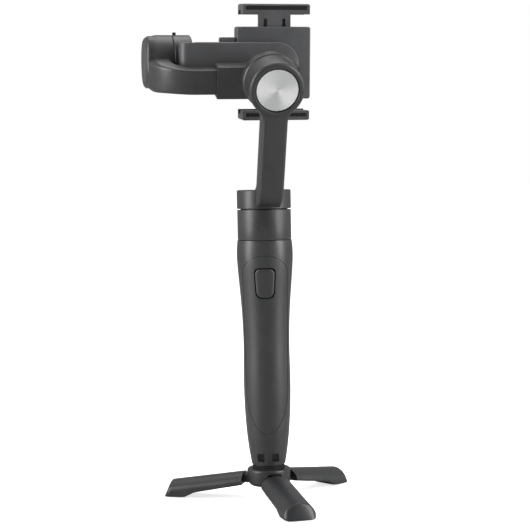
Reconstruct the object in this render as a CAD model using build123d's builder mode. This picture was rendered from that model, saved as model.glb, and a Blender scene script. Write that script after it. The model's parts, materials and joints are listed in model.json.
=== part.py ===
"""Phone gimbal on a telescopic grip, standing on a folding tabletop tripod.

Millimetres, +Z up.  The origin is on the floor, where the pan axis meets it.  The lens side of
the phone faces -Y, the operator stands at +Y, and the tilt motor hangs out to -X.
"""
from build123d import *
import os
from math import cos, radians, sin, sqrt

# ---------------------------------------------------------------- clearances
seam = 0.3  # open line between two mouldings, and the air round a moving cap
running = 0.05  # radial clearance of a shaft or a sliding tube
sliding = 0.1  # clearance of a flat slide, each side

# ---------------------------------------------------------------- tripod
tripod_yaw = 5.1
leg_count = 3
hub_radius = 15.2
hub_base = 10.3
hub_height = 12.0
hub_rim = 1.6
hub_heel = 2.4
seat_rebate = 0.8
hub_slot_roof = 3.2
hinge_radius = 11.5
hinge_height = 15.0
hinge_pin_radius = 1.5
hinge_pin_length = 14.6
knuckle_radius = 3.6
knuckle_width = 9.0
leg_root = 17.6
leg_width = 22.2
leg_crown = 13.0
leg_top_root = 20.3
leg_under_root = 10.6
leg_shoulder = 68.5
leg_shoulder_height = 12.7
leg_shoulder_radius = 5.0
leg_tip = 75.0
foot_start = 60.0
foot_ramp = 7.5
foot_ramp_height = 4.2
pad_setback = 1.0
pad_thickness = 1.6
pad_proud = 0.5
pad_length = 11.0
pad_width = 13.0
seat_radius = 11.2
seat_height = 3.0
stud_radius = 3.13
stud_reach = 7.5
insert_radius = 5.0
insert_depth = 9.0

# ---------------------------------------------------------------- grip
grip_yaw = -12.0
grip_length = 157.5
grip_wall = 2.0
grip_floor = 11.0
grip_roof = 3.0
panel_proud = 0.4
trigger_proud = 0.7
trigger_gap = 0.7
trigger_root = 13.4
battery_radius = 9.2
battery_length = 64.0
pole_wall = 0.9
pole_radius = 8.5
pole_count = 3
pole_length = 74.0
guide_wall = 1.6

# ---------------------------------------------------------------- motors
motor_radius = 18.77
motor_wall = 1.7
motor_floor = 2.5
motor_edge = 1.0
bearing_radius = 4.0
bearing_wall = 1.2
bearing_height = 3.0
shaft_radius = 2.0
stator_radius = 11.4
stator_slots = 9
pan_housing_height = 20.9
pan_gap = 0.8
disc_radius = 14.4
disc_gap = 0.6
disc_thickness = 1.8

# ---------------------------------------------------------------- head
lean = 20.0
foot_radius = 18.9
foot_height = 13.1
foot_edge = 1.2
disc_forward = 54.0
roll_rise = 78.2
roll_to_tilt = 71.4
strap_width = 17.2
strap_front = 0.8
strap_depth = 14.0
strap_edge = 2.2
strap_bend = 18.0
flare_radius = 12.0
flare_edge = 1.2
channel_width = 9.0
channel_depth = 6.0
channel_length = 36.0
channel_start = 24.0
cover_thickness = 1.4
cup_depth = 20.0
cup_edge = 2.4
rotor_radius = motor_radius + 0.73
sleeve_front = 26.5
sleeve_depth = 13.0
sleeve_height = 21.9
sleeve_drop = 2.5
sleeve_left = -36.0
sleeve_right = 20.0
bar_height = 17.0
bar_depth = 10.0
bar_tail = 14.0
bar_edge = 1.2
lock_x = 6.0
lock_radius = 4.6
lock_length = 5.0
tilt_left = -80.4
tilt_seam = -61.3
tilt_right = -48.0
bend_start = -50.0
end_square = 6.0
end_corner = 9.0

# ---------------------------------------------------------------- phone arm and clamp
phone_tip = 6.5
beam_left = -58.5
beam_height = 28.0
beam_front = -13.5
beam_thickness = 9.0
beam_bend = 6.0
beam_back = 3.0
beam_edge = 1.0
pivot_x = 9.3
pivot_end_radius = 14.3
pivot_radius = 4.0
pivot_head = 7.0
pivot_head_thickness = 1.2
clamp_width = 51.7
clamp_height = 49.5
clamp_shift = -1.1
clamp_depth = 12.4
clamp_wall = 2.4
clamp_edge = 4.0
clamp_cover = 1.6
rear_pad = 0.8
tongue_width = 22.7
tongue_thickness = 3.0
tongue_overlap = 34.0
tongue_slot = 2.4
tongue_slot_depth = 2.2
jaw_width = 47.5
jaw_shift = 1.4
jaw_depth = 19.1
grip_gap = 70.0
upper_jaw_height = 7.2
lower_jaw_height = 6.6
upper_lip = 1.8
lower_lip = 1.6
back_lip = 2.0
phone_thickness = 8.6
jaw_pad = 1.0
spring_radius = 1.8
spring_wire = 0.4

# ---------------------------------------------------------------- heights and axes that follow
grip_base = hub_base + hub_height + seat_height
grip_top = grip_base + grip_length
housing_base = grip_top + seam
housing_top = housing_base + pan_housing_height
foot_base = housing_top + pan_gap
foot_top = foot_base + foot_height
disc_height = foot_base + roll_rise
rise = sin(radians(lean))
run = cos(radians(lean))
tilt_y = roll_to_tilt * run - disc_forward
tilt_z = disc_height + roll_to_tilt * rise

# Looking at the roll motor's disc: local x is +X, local y runs up the leaning arm, and the
# normal comes out of the disc, so depths behind the disc are negative offsets.
roll_face = Plane(origin=(0, -disc_forward, disc_height), x_dir=(1, 0, 0), z_dir=(0, -run, -rise))
# Looking down on the sliding bar: local x is +X and local y runs back along the roll axis.
bar_plan = Plane(origin=(0, -disc_forward, disc_height), x_dir=(1, 0, 0), z_dir=(0, -rise, run))


def facing(yaw):
    """Upright plane through the pan axis that faces out at a yaw: local x right, local y up."""
    a = radians(yaw)
    return Plane(origin=(0, 0, 0), x_dir=(cos(a), sin(a), 0), z_dir=(sin(a), -cos(a), 0))


def across(x):
    """Plane square to the tilt axis at a place along it: local x is +Y and local y is +Z."""
    return Plane(origin=(x, tilt_y, tilt_z), x_dir=(0, 1, 0), z_dir=(1, 0, 0))


def up_arm(along, behind):
    """(Y, Z) of a point given by its way up the leaning arm and its depth behind the disc."""
    return (
        -disc_forward + behind * run - along * rise,
        disc_height + behind * rise + along * run,
    )


def tipped(piece):
    """A piece of the phone arm or clamp, turned about the tilt axis to the angle it rests at."""
    return piece.rotate(Axis((0, tilt_y, tilt_z), (1, 0, 0)), phone_tip)


def save(piece, name):
    """Label a finished piece and write its STEP file."""
    piece.label = name
    export_step(piece, f"parts/{name}.step")


os.makedirs("parts", exist_ok=True)

front = facing(grip_yaw)
rear = facing(grip_yaw + 180)

# ================================================================ tripod
leg_yaws = [tripod_yaw + n * 360 / leg_count for n in range(leg_count)]
pin_plane = {yaw: facing(yaw + 90) for yaw in leg_yaws}  # local x points back along the leg
slot_top = hub_base + hub_height - hub_slot_roof

with BuildPart() as tripod_hub:
    with BuildSketch(Plane.XY.offset(hub_base)):
        Circle(hub_radius)
    extrude(amount=hub_height)
    fillet(tripod_hub.edges().filter_by(GeomType.CIRCLE).group_by(Axis.Z)[-1], hub_rim)
    chamfer(tripod_hub.edges().filter_by(GeomType.CIRCLE).group_by(Axis.Z)[0], hub_heel)
    with BuildSketch(Plane.XY.offset(hub_base + hub_height)):
        Circle(seat_radius + seam)
    extrude(amount=-seat_rebate, mode=Mode.SUBTRACT)
    for yaw in leg_yaws:
        with BuildSketch(facing(yaw).offset(hinge_radius - knuckle_radius - 2 * seam)):
            with Locations((0, (hub_base + slot_top) / 2 - 5)):
                Rectangle(knuckle_width + 2 * seam, slot_top - hub_base + 10)
        extrude(amount=hub_radius, mode=Mode.SUBTRACT)
        with BuildSketch(pin_plane[yaw].offset(-hinge_pin_length / 2)):
            with Locations((-hinge_radius, hinge_height)):
                Circle(hinge_pin_radius)
        extrude(amount=hinge_pin_length, mode=Mode.SUBTRACT)
    with BuildSketch(Plane.XY.offset(hub_base)):
        Circle(stud_radius)
    extrude(amount=hub_height, mode=Mode.SUBTRACT)
save(tripod_hub.part, "tripod_hub")

with BuildPart() as leg_pins:
    for yaw in leg_yaws:
        with BuildSketch(pin_plane[yaw].offset(-hinge_pin_length / 2)):
            with Locations((-hinge_radius, hinge_height)):
                Circle(hinge_pin_radius)
        extrude(amount=hinge_pin_length)
save(leg_pins.part, "leg_pins")

leg_slope = (leg_shoulder_height - leg_top_root) / (leg_shoulder - leg_root)


def tripod_leg(yaw):
    """One leg: a crowned bar with a blunt sloping nose, a foot bulge and a hinge knuckle."""
    out = facing(yaw).z_dir
    side = Plane(origin=(0, 0, 0), x_dir=out, z_dir=out.cross(Vector(0, 0, 1)))
    along = Vector(out.X, out.Y, leg_slope).normalized()
    start = out * leg_root + Vector(0, 0, leg_top_root) - along * 3
    section = Plane(origin=start, x_dir=Vector(0, 0, 1).cross(out), z_dir=along)
    half = leg_width / 2
    edge_drop = leg_crown - sqrt(leg_crown**2 - half**2)
    with BuildPart() as leg:
        with BuildSketch(side) as profile:
            with BuildLine():
                Polyline(
                    (leg_root, leg_top_root),
                    (leg_shoulder, leg_shoulder_height),
                    (leg_tip, pad_proud + 1.2),
                    (leg_tip - 0.6, pad_proud),
                    (foot_start, pad_proud),
                    (foot_start - foot_ramp, foot_ramp_height),
                    (leg_root, leg_under_root),
                    close=True,
                )
            make_face()
            shoulder = profile.vertices().sort_by_distance((leg_shoulder, leg_shoulder_height))
            fillet(shoulder[0], leg_shoulder_radius)
        extrude(amount=half, both=True)
        with BuildSketch(section):
            with BuildLine():
                crown = ThreePointArc((-half, -edge_drop), (0, 0), (half, -edge_drop))
                Polyline(crown @ 1, (half - 0.9, -leg_tip), (0.9 - half, -leg_tip), crown @ 0)
            make_face()
        extrude(amount=leg_tip, mode=Mode.INTERSECT)
        with BuildSketch(side):
            with Locations((hinge_radius, hinge_height)):
                Circle(knuckle_radius)
            with Locations(((hinge_radius + leg_root + 1) / 2, hinge_height - 0.6)):
                Rectangle(leg_root + 1 - hinge_radius, 2 * knuckle_radius - 1.2)
        extrude(amount=knuckle_width / 2, both=True)
        with BuildSketch(side):
            with Locations((hinge_radius, hinge_height)):
                Circle(hinge_pin_radius + running)
        extrude(amount=knuckle_width, both=True, mode=Mode.SUBTRACT)
        with BuildSketch(side):
            with Locations((foot_start + pad_setback + pad_length / 2, 0)):
                Rectangle(pad_length, 2 * pad_thickness)
        extrude(amount=pad_width / 2, both=True, mode=Mode.SUBTRACT)
    with BuildPart() as pad:
        with BuildSketch(side):
            with Locations((foot_start + pad_setback + pad_length / 2, pad_thickness / 2)):
                Rectangle(pad_length, pad_thickness)
        extrude(amount=pad_width / 2, both=True)
        chamfer(pad.faces().sort_by(Axis.Z)[0].edges(), 0.3)
    return leg.part, pad.part


for number, yaw in enumerate(leg_yaws, 1):
    leg, pad = tripod_leg(yaw)
    save(leg, f"tripod_leg_{number}")
    save(pad, f"foot_pad_{number}")

with BuildPart() as seat_ring:
    with BuildSketch(Plane.XY.offset(hub_base + hub_height - seat_rebate)):
        Circle(seat_radius)
        Circle(stud_radius + running, mode=Mode.SUBTRACT)
    extrude(amount=seat_height + seat_rebate)
save(seat_ring.part, "seat_ring")

with BuildPart() as tripod_stud:
    with BuildSketch(Plane.XY.offset(hub_base)):
        Circle(stud_radius)
    extrude(amount=grip_base + stud_reach - hub_base)
    chamfer(tripod_stud.edges().group_by(Axis.Z)[-1], 0.6)
save(tripod_stud.part, "tripod_stud")

# ================================================================ grip
# (radius, height above the grip's base) up to the belly, then (radius, depth below its top)
low_stations = [(11.8, 0.0), (14.35, 16.7), (15.75, 33.4), (16.45, 55.7)]
high_stations = [(16.15, 72.8), (17.5, 40.2), (19.3, 17.8), (19.6, 11.4), (18.95, 0.0)]
stations = [(r, grip_base + h) for r, h in low_stations]
stations += [(r, grip_top - h) for r, h in high_stations]


def grip_radius(height):
    """Outside radius of the grip at a height, straight between its stations."""
    for (r0, z0), (r1, z1) in zip(stations, stations[1:]):
        if height <= z1:
            return r0 + (r1 - r0) * (height - z0) / (z1 - z0)
    return stations[-1][0]


def grip_form(proud, base=grip_base, top=grip_top):
    """The grip's turned form, this much outside its skin, cut off at two heights."""
    with BuildPart() as form:
        with BuildSketch(Plane.XZ):
            with BuildLine():
                skin = Spline(*[(r + proud, z) for r, z in stations])
                Polyline(skin @ 1, (0, grip_top), (0, grip_base), skin @ 0)
            make_face()
        revolve(axis=Axis.Z)
        with BuildSketch(Plane.XY.offset(base)):
            Circle(2 * foot_radius)
        extrude(amount=top - base, mode=Mode.INTERSECT)
    return form.part


cover_half = 15.8  # half the front cover's width at its shoulders
cover_waist = 14.6
cover_top = grip_top - 10.2
cover_shoulder = grip_top - 21.9
cover_bottom = grip_base + 22.3
cover_hip = grip_base + 54.7


def cover_outline(inset):
    """Long shield outline of the front cover, drawn in from its full size by the inset."""
    half, waist = cover_half - inset, cover_waist - inset
    with BuildSketch() as shield:
        with BuildLine():
            dome = EllipticalCenterArc(
                (0, cover_shoulder), half, cover_top - cover_shoulder - inset, 0, arc_size=180
            )
            chin = EllipticalCenterArc(
                (0, cover_hip), waist, cover_hip - cover_bottom - inset, 180, arc_size=180
            )
            Line(dome @ 1, chin @ 0)
            Line(chin @ 1, dome @ 0)
        make_face()
    return shield.sketch


panel_half = 9.6
panel_base = grip_top - 69.0
panel_top = grip_top - 9.5
stick_height = grip_top - 32.0
shutter_height = grip_top - 49.5
mode_height = grip_top - 61.0
lamp_height = grip_top - 16.5
port_height = panel_base - 10.0
trigger_height = grip_top - 29.4
slider_yaw = grip_yaw + 130
slider_height = grip_top - 36.0
strap_slot_height = grip_base + 5.7
strap_slot = 5.0
strap_slot_tall = 5.8
strap_bridge = 5.2


def panel_outline(inset):
    """Round-ended outline of the control panel."""
    with BuildSketch() as outline:
        with Locations((0, (panel_base + panel_top) / 2)):
            SlotOverall(
                panel_top - panel_base - 2 * inset, 2 * (panel_half - inset), rotation=90
            )
    return outline.sketch


def trigger_outline(grow):
    """Rounded outline of the trigger, wider at the top."""
    top, bottom, half_height = 7.1 + grow, 5.9 + grow, 10.0 + grow
    with BuildSketch() as outline:
        with BuildLine():
            Polyline(
                (-bottom, trigger_height - half_height),
                (bottom, trigger_height - half_height),
                (top, trigger_height + half_height),
                (-top, trigger_height + half_height),
                close=True,
            )
        make_face()
        fillet(outline.vertices().group_by(Axis.Y)[0], 4.6)
        fillet(outline.vertices().group_by(Axis.Y)[-1], 3.4)
    return outline.sketch


outer_form = grip_form(0)
inner_form = grip_form(-grip_wall, grip_base + grip_floor, grip_top - grip_roof)
proud_form = grip_form(panel_proud)
trigger_form = grip_form(trigger_proud)
guide_outer = pole_radius + running + guide_wall
slider_slot = (3.4, 12.0)

with BuildPart() as grip_shell:
    add(outer_form)
    add(inner_form, mode=Mode.SUBTRACT)
    extrude(front * cover_outline(0), amount=2 * foot_radius, mode=Mode.SUBTRACT)
    extrude(rear * panel_outline(0), amount=2 * foot_radius, mode=Mode.SUBTRACT)
    with BuildSketch(Plane.XY.offset(grip_top)):
        Circle(guide_outer)
    extrude(amount=-grip_roof, mode=Mode.SUBTRACT)
    with BuildSketch(Plane.XY.offset(grip_base)):
        Circle(insert_radius)
    extrude(amount=insert_depth, mode=Mode.SUBTRACT)
    with BuildSketch(front.offset(8.4)):
        with Locations((0, strap_slot_height)):
            Rectangle(2 * strap_slot + strap_bridge, strap_slot_tall)
    extrude(amount=2.2, mode=Mode.SUBTRACT)
    with BuildSketch(front.offset(8.4)):
        with Locations((0, strap_slot_height)):
            with GridLocations(strap_slot + strap_bridge, 0, 2, 1):
                RectangleRounded(strap_slot, strap_slot_tall, 0.6)
    extrude(amount=foot_radius, mode=Mode.SUBTRACT)
    with BuildSketch(facing(slider_yaw).offset(12)):
        with Locations((0, slider_height)):
            Rectangle(slider_slot[0], slider_slot[1])
    extrude(amount=foot_radius, mode=Mode.SUBTRACT)
    with BuildSketch(rear.offset(12)):
        with Locations((0, port_height)):
            RectangleRounded(9.2, 3.4, 1.2)
    extrude(amount=foot_radius, mode=Mode.SUBTRACT)
save(grip_shell.part, "grip_shell")

with BuildPart() as front_cover:
    add(outer_form)
    add(inner_form, mode=Mode.SUBTRACT)
    extrude(front * cover_outline(seam), amount=2 * foot_radius, mode=Mode.INTERSECT)
    extrude(front * trigger_outline(trigger_gap), amount=2 * foot_radius, mode=Mode.SUBTRACT)
save(front_cover.part, "front_cover")

with BuildPart() as control_panel:
    add(proud_form)
    add(inner_form, mode=Mode.SUBTRACT)
    extrude(rear * panel_outline(seam), amount=2 * foot_radius, mode=Mode.INTERSECT)
    with BuildSketch(rear):
        with Locations((0, stick_height)):
            Circle(8.0)
        with Locations((0, shutter_height), (0, mode_height)):
            Circle(3.8 + seam)
        with Locations((0, lamp_height)):
            SlotOverall(8.4, 1.8)
    extrude(amount=2 * foot_radius, mode=Mode.SUBTRACT)
save(control_panel.part, "control_panel")

with BuildPart() as trigger:
    add(trigger_form)
    extrude(front.offset(trigger_root) * trigger_outline(0), amount=foot_radius, mode=Mode.INTERSECT)
save(trigger.part, "trigger")

switch_depth = 1.6
trigger_travel = 1.4

with BuildPart() as trigger_switch:
    with BuildSketch(front.offset(guide_outer + 0.1)):
        with Locations((0, trigger_height)):
            Rectangle(8, 9)
    extrude(amount=trigger_root - trigger_travel - seam - guide_outer - 0.1)
save(trigger_switch.part, "trigger_switch")

with BuildPart() as thread_insert:
    with BuildSketch(Plane.XY.offset(grip_base)):
        Circle(insert_radius)
        Circle(stud_radius + running, mode=Mode.SUBTRACT)
    extrude(amount=insert_depth)
save(thread_insert.part, "thread_insert")

battery_base = grip_base + grip_floor
with BuildPart() as battery_cell:
    with BuildSketch(Plane.XY.offset(battery_base)):
        Circle(battery_radius)
    extrude(amount=battery_length)
    fillet(battery_cell.edges(), 0.8)
    with BuildSketch(Plane.XY.offset(battery_base + battery_length)):
        Circle(3.0)
    extrude(amount=1.2)
save(battery_cell.part, "battery_cell")

guide_base = grip_top - pole_length - 1.2
with BuildPart() as pole_guide:
    with BuildSketch(Plane.XY.offset(guide_base)):
        Circle(guide_outer)
        Circle(pole_radius + running, mode=Mode.SUBTRACT)
    extrude(amount=grip_top - guide_base)
save(pole_guide.part, "pole_guide")

pole_step = pole_wall + running
for number in range(pole_count):
    outside = pole_radius - number * pole_step
    with BuildPart() as tube:
        with BuildSketch(Plane.XY.offset(grip_top - pole_length)):
            Circle(outside)
            Circle(outside - pole_wall, mode=Mode.SUBTRACT)
        extrude(amount=pole_length)
    save(tube.part, f"pole_tube_{number + 1}")
spigot_radius = pole_radius - (pole_count - 1) * pole_step - pole_wall

# ---------------------------------------------------------------- operator's controls
board_front = guide_outer + 0.3
board_thickness = 1.2
board_face = board_front + board_thickness
with BuildPart() as circuit_board:
    with BuildSketch(rear.offset(board_front)):
        with Locations((0, (mode_height - 4 + lamp_height + 3) / 2)):
            Rectangle(11.6, lamp_height - mode_height + 7)
    extrude(amount=board_thickness)
save(circuit_board.part, "circuit_board")

stick_pivot = board_face + 2.9  # depth of the joystick's two crossing axes
well_radius = 4.6
yoke_outer = 3.9
yoke_inner = 2.6
trunnion_radius = 0.5
with BuildPart() as joystick_base:
    with BuildSketch(rear.offset(board_face)):
        with Locations((0, stick_height)):
            Circle(well_radius + 0.9)
    extrude(amount=3.9)
    with BuildSketch(rear.offset(board_face + 0.6)):
        with Locations((0, stick_height)):
            Circle(well_radius)
    extrude(amount=4, mode=Mode.SUBTRACT)
    across_stick = Plane(
        origin=rear.origin + rear.z_dir * stick_pivot + Vector(0, 0, stick_height),
        x_dir=rear.z_dir,
        z_dir=rear.x_dir,
    )
    with BuildSketch(across_stick):
        Circle(trunnion_radius + running)
    extrude(amount=well_radius + 2, both=True, mode=Mode.SUBTRACT)
save(joystick_base.part, "joystick_base")

with BuildPart() as joystick_yoke:
    with BuildSketch(rear.offset(stick_pivot - 0.8)):
        with Locations((0, stick_height)):
            Circle(yoke_outer)
            Circle(yoke_inner, mode=Mode.SUBTRACT)
    extrude(amount=1.6)
    with BuildSketch(across_stick.offset(yoke_outer - 0.5)):
        Circle(trunnion_radius)
    extrude(amount=well_radius + 0.9 - yoke_outer + 0.5)
    with BuildSketch(across_stick.offset(0.5 - yoke_outer)):
        Circle(trunnion_radius)
    extrude(amount=yoke_outer - 0.5 - well_radius - 0.9)
    with BuildSketch(Plane.XY.offset(stick_height)):
        with Locations((rear.z_dir.X * stick_pivot, rear.z_dir.Y * stick_pivot)):
            Circle(trunnion_radius + running)
    extrude(amount=yoke_outer + 1, both=True, mode=Mode.SUBTRACT)
save(joystick_yoke.part, "joystick_yoke")

stick_rim = grip_radius(stick_height) + panel_proud + 1.2
with BuildPart() as joystick:
    with BuildSketch(rear.offset(stick_pivot - 0.9)):
        with Locations((0, stick_height)):
            Circle(1.7)
    extrude(amount=stick_rim + 0.5 - stick_pivot + 0.9)
    with BuildSketch(Plane.XY.offset(stick_height)):
        with Locations((rear.z_dir.X * stick_pivot, rear.z_dir.Y * stick_pivot)):
            Circle(trunnion_radius)
    extrude(amount=yoke_outer, both=True)
    with BuildSketch(rear.offset(stick_rim)):
        with Locations((0, stick_height)):
            Circle(6.2)
    extrude(amount=2.4)
    outer_rim = joystick.edges().filter_by(GeomType.CIRCLE).sort_by(Axis((0, 0, 0), rear.z_dir))[-1]
    chamfer(outer_rim, 0.9, 1.4)
    with BuildSketch(rear.offset(stick_rim + 2.4)):
        with Locations((0, stick_height)):
            Circle(3.6)
    extrude(amount=-0.7, taper=20, mode=Mode.SUBTRACT)
save(joystick.part, "joystick")

button_travel = 0.6
for name, height in (("shutter_button", shutter_height), ("mode_button", mode_height)):
    face = grip_radius(height) + panel_proud + 0.9
    with BuildPart() as button:
        with BuildSketch(rear.offset(board_face + button_travel + seam)):
            with Locations((0, height)):
                Circle(3.8)
        extrude(amount=face - board_face - button_travel - seam)
        rim = button.edges().sort_by(Axis((0, 0, 0), rear.z_dir))[-1]
        fillet(rim, 0.5)
    save(button.part, name)

with BuildPart() as status_lamp:
    with BuildSketch(rear.offset(board_face)):
        with Locations((0, lamp_height)):
            SlotOverall(8.4, 1.8)
    extrude(amount=grip_radius(lamp_height) + panel_proud + 0.1 - board_face)
save(status_lamp.part, "status_lamp")

slider_face = grip_radius(slider_height + 8) + seam
with BuildPart() as zoom_slider:
    with BuildSketch(facing(slider_yaw).offset(slider_face)):
        with Locations((0, slider_height)):
            RectangleRounded(6.0, 8.0, 1.4)
    extrude(amount=1.4)
    with BuildSketch(facing(slider_yaw).offset(slider_face)):
        with Locations((0, slider_height)):
            Rectangle(slider_slot[0] - 2 * seam, 5.0)
    extrude(amount=-4.6)
save(zoom_slider.part, "zoom_slider")

with BuildPart() as usb_port:
    with BuildSketch(rear.offset(board_front)):
        with Locations((0, port_height)):
            RectangleRounded(9.2, 3.4, 1.2)
            RectangleRounded(8.6, 2.8, 1.0, mode=Mode.SUBTRACT)
    extrude(amount=grip_radius(port_height) - board_front - 0.4)
    with BuildSketch(rear.offset(board_front)):
        with Locations((0, port_height)):
            RectangleRounded(9.2, 3.4, 1.2)
    extrude(amount=1.0)
    with BuildSketch(rear.offset(board_front)):
        with Locations((0, port_height)):
            Rectangle(6.4, 0.8)
    extrude(amount=4.2)
save(usb_port.part, "usb_port")

# ================================================================ motors
motor_bore = motor_radius - motor_wall


def bearing_tube(plane, depth):
    """Tube on a motor housing's floor that carries the stator outside and the bearing inside."""
    with BuildPart() as tube:
        with BuildSketch(plane):
            Circle(bearing_radius + bearing_wall)
            Circle(bearing_radius, mode=Mode.SUBTRACT)
        extrude(amount=depth - 5.0)
    return tube.part


def motor_parts(plane, depth, gap):
    """Stator, bearing and rotor of a flat outrunner in a housing whose inner floor is the plane.

    The stator is a slotted ring on the bearing tube.  The rotor is a bell over it, on a shaft in
    the bearing, and its crown reaches the driven part across the gap.
    """
    tube_radius = bearing_radius + bearing_wall
    with BuildPart() as stator:
        with BuildSketch(plane.offset(1.5)):
            Circle(stator_radius)
            Circle(tube_radius, mode=Mode.SUBTRACT)
            with PolarLocations((tube_radius + stator_radius + 3) / 2, stator_slots):
                Rectangle(stator_radius - tube_radius - 2, 2.0, mode=Mode.SUBTRACT)
        extrude(amount=depth - 7.5)
    with BuildPart() as bearing:
        with BuildSketch(plane.offset(depth - 5.0 - bearing_height)):
            Circle(bearing_radius)
            Circle(shaft_radius, mode=Mode.SUBTRACT)
        extrude(amount=bearing_height)
    bell_outer = motor_bore - 0.6
    with BuildPart() as rotor:
        with BuildSketch(plane.offset(1.5)):
            Circle(bell_outer)
        extrude(amount=depth - 2.5)
        with BuildSketch(plane.offset(1.5)):
            Circle(stator_radius + 0.5)
        extrude(amount=depth - 4.5, mode=Mode.SUBTRACT)
        with BuildSketch(plane.offset(depth - 5.0 - bearing_height - 1)):
            Circle(shaft_radius - running)
        extrude(amount=bearing_height + 4)
        with BuildSketch(plane.offset(depth - 1.0)):
            Circle(bell_outer)
        extrude(amount=1.0 + gap)
    return stator.part, bearing.part, rotor.part


def save_motor(name, plane, depth, gap):
    """Write one motor's three inner pieces."""
    for piece, kind in zip(motor_parts(plane, depth, gap), ("stator", "bearing", "rotor")):
        save(piece, f"{name}_{kind}")


pan_floor = Plane.XY.offset(housing_base + motor_floor)
pan_depth = pan_housing_height - motor_floor
pan_tube = bearing_tube(pan_floor, pan_depth)
with BuildPart() as pan_motor_housing:
    with BuildSketch(Plane.XY.offset(housing_base)):
        Circle(motor_radius)
    extrude(amount=pan_housing_height)
    rims = pan_motor_housing.edges().filter_by(GeomType.CIRCLE)
    chamfer(rims, 0.4)
    with BuildSketch(pan_floor):
        Circle(motor_bore)
    extrude(amount=pan_depth, mode=Mode.SUBTRACT)
    add(pan_tube)
    with BuildSketch(Plane.XY.offset(housing_base)):
        Circle(spigot_radius)
    extrude(amount=-10)
save(pan_motor_housing.part, "pan_motor_housing")
save_motor("pan", pan_floor, pan_depth, pan_gap)

# ================================================================ leaning pan arm and roll motor
strap_back = strap_front + strap_depth
cup_floor = strap_front + disc_thickness + motor_floor
cup_cavity = cup_depth - cup_floor
roll_floor = Plane(roll_face.offset(-cup_floor).origin, x_dir=(-1, 0, 0), z_dir=(0, run, rise))
front_foot = up_arm(-(roll_rise + strap_front * rise) / run, strap_front)
back_foot = up_arm(-(roll_rise - foot_height + strap_back * rise) / run, strap_back)
roll_tube = bearing_tube(roll_floor, cup_cavity)

with BuildPart() as roll_cup:
    with BuildSketch(roll_face):
        Circle(motor_radius)
    extrude(amount=-cup_depth)
    chamfer(roll_cup.edges().sort_by(Axis((0, 0, 0), roll_face.z_dir))[-1], cup_edge)

# The strap widens into the cup by a hollow round on each side.
flare_x = strap_width / 2 + flare_radius
flare_y = -sqrt((motor_radius + flare_radius) ** 2 - flare_x**2)
with BuildPart() as flare:
    with BuildSketch(roll_face.offset(-strap_front - flare_edge)):
        with Locations((0, flare_y / 2)):
            Rectangle(2 * flare_x, -flare_y)
        with Locations((-flare_x, flare_y), (flare_x, flare_y)):
            Circle(flare_radius, mode=Mode.SUBTRACT)
        with Locations((0, flare_y / 2)):
            with GridLocations(2 * flare_x, 0, 2, 1):
                Rectangle(2 * (flare_x - motor_radius * flare_x / (motor_radius + flare_radius)),
                          -flare_y, mode=Mode.SUBTRACT)
    extrude(amount=2 * flare_edge - strap_depth)

with BuildPart() as pan_arm:
    with BuildSketch(Plane.YZ) as strap_side:
        with BuildLine():
            Polyline(
                up_arm(0, strap_front),
                front_foot,
                (0, foot_base),
                (0, foot_top - foot_edge),
                (back_foot[0] + 1, foot_top - foot_edge),
                back_foot,
                up_arm(0, strap_back),
                close=True,
            )
        make_face()
        fillet(strap_side.vertices().group_by(Axis.Y)[0].sort_by(Axis.X)[0], strap_bend)
    extrude(amount=strap_width / 2, both=True)
    up = Axis((0, 0, 0), (0, -rise, run))
    fillet(pan_arm.edges().filter_by(up), strap_edge)
    with BuildSketch(Plane.XY.offset(foot_base)):
        Circle(foot_radius)
    extrude(amount=foot_height)
    foot_rim = pan_arm.edges().filter_by(GeomType.CIRCLE).filter_by(
        lambda e: abs(e.radius - foot_radius) < 0.01 and e.center().Z > foot_top - 0.1
    )
    fillet(foot_rim, foot_edge)
    add(flare.part)
    add(roll_cup.part)
    with BuildSketch(roll_face):
        Circle(disc_radius + disc_gap)
    extrude(amount=-disc_thickness - strap_front, mode=Mode.SUBTRACT)
    with BuildSketch(roll_floor):
        Circle(motor_bore)
    extrude(amount=cup_cavity, mode=Mode.SUBTRACT)
    add(roll_tube)
    with BuildSketch(roll_face.offset(-strap_back)):
        with Locations((0, -channel_start - channel_length / 2)):
            RectangleRounded(channel_width, channel_length, 1.5)
    extrude(amount=channel_depth, mode=Mode.SUBTRACT)
save(pan_arm.part, "pan_arm")

with BuildPart() as arm_cover:
    with BuildSketch(roll_face.offset(-strap_back)):
        with Locations((0, -channel_start - channel_length / 2)):
            RectangleRounded(channel_width - 2 * sliding, channel_length - 2 * sliding, 1.4)
    extrude(amount=cover_thickness)
save(arm_cover.part, "arm_cover")


def round_cap(plane, name):
    """Thin disc with a small chamfer round its face, sunk in a motor's closed end."""
    with BuildPart() as disc:
        with BuildSketch(plane):
            Circle(disc_radius)
        extrude(amount=-disc_thickness)
        chamfer(disc.edges().sort_by(Axis((0, 0, 0), plane.z_dir))[-1], 0.35)
    save(disc.part, name)


round_cap(roll_face.offset(-strap_front), "roll_disc")
save_motor("roll", roll_floor, cup_cavity, seam)

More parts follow.
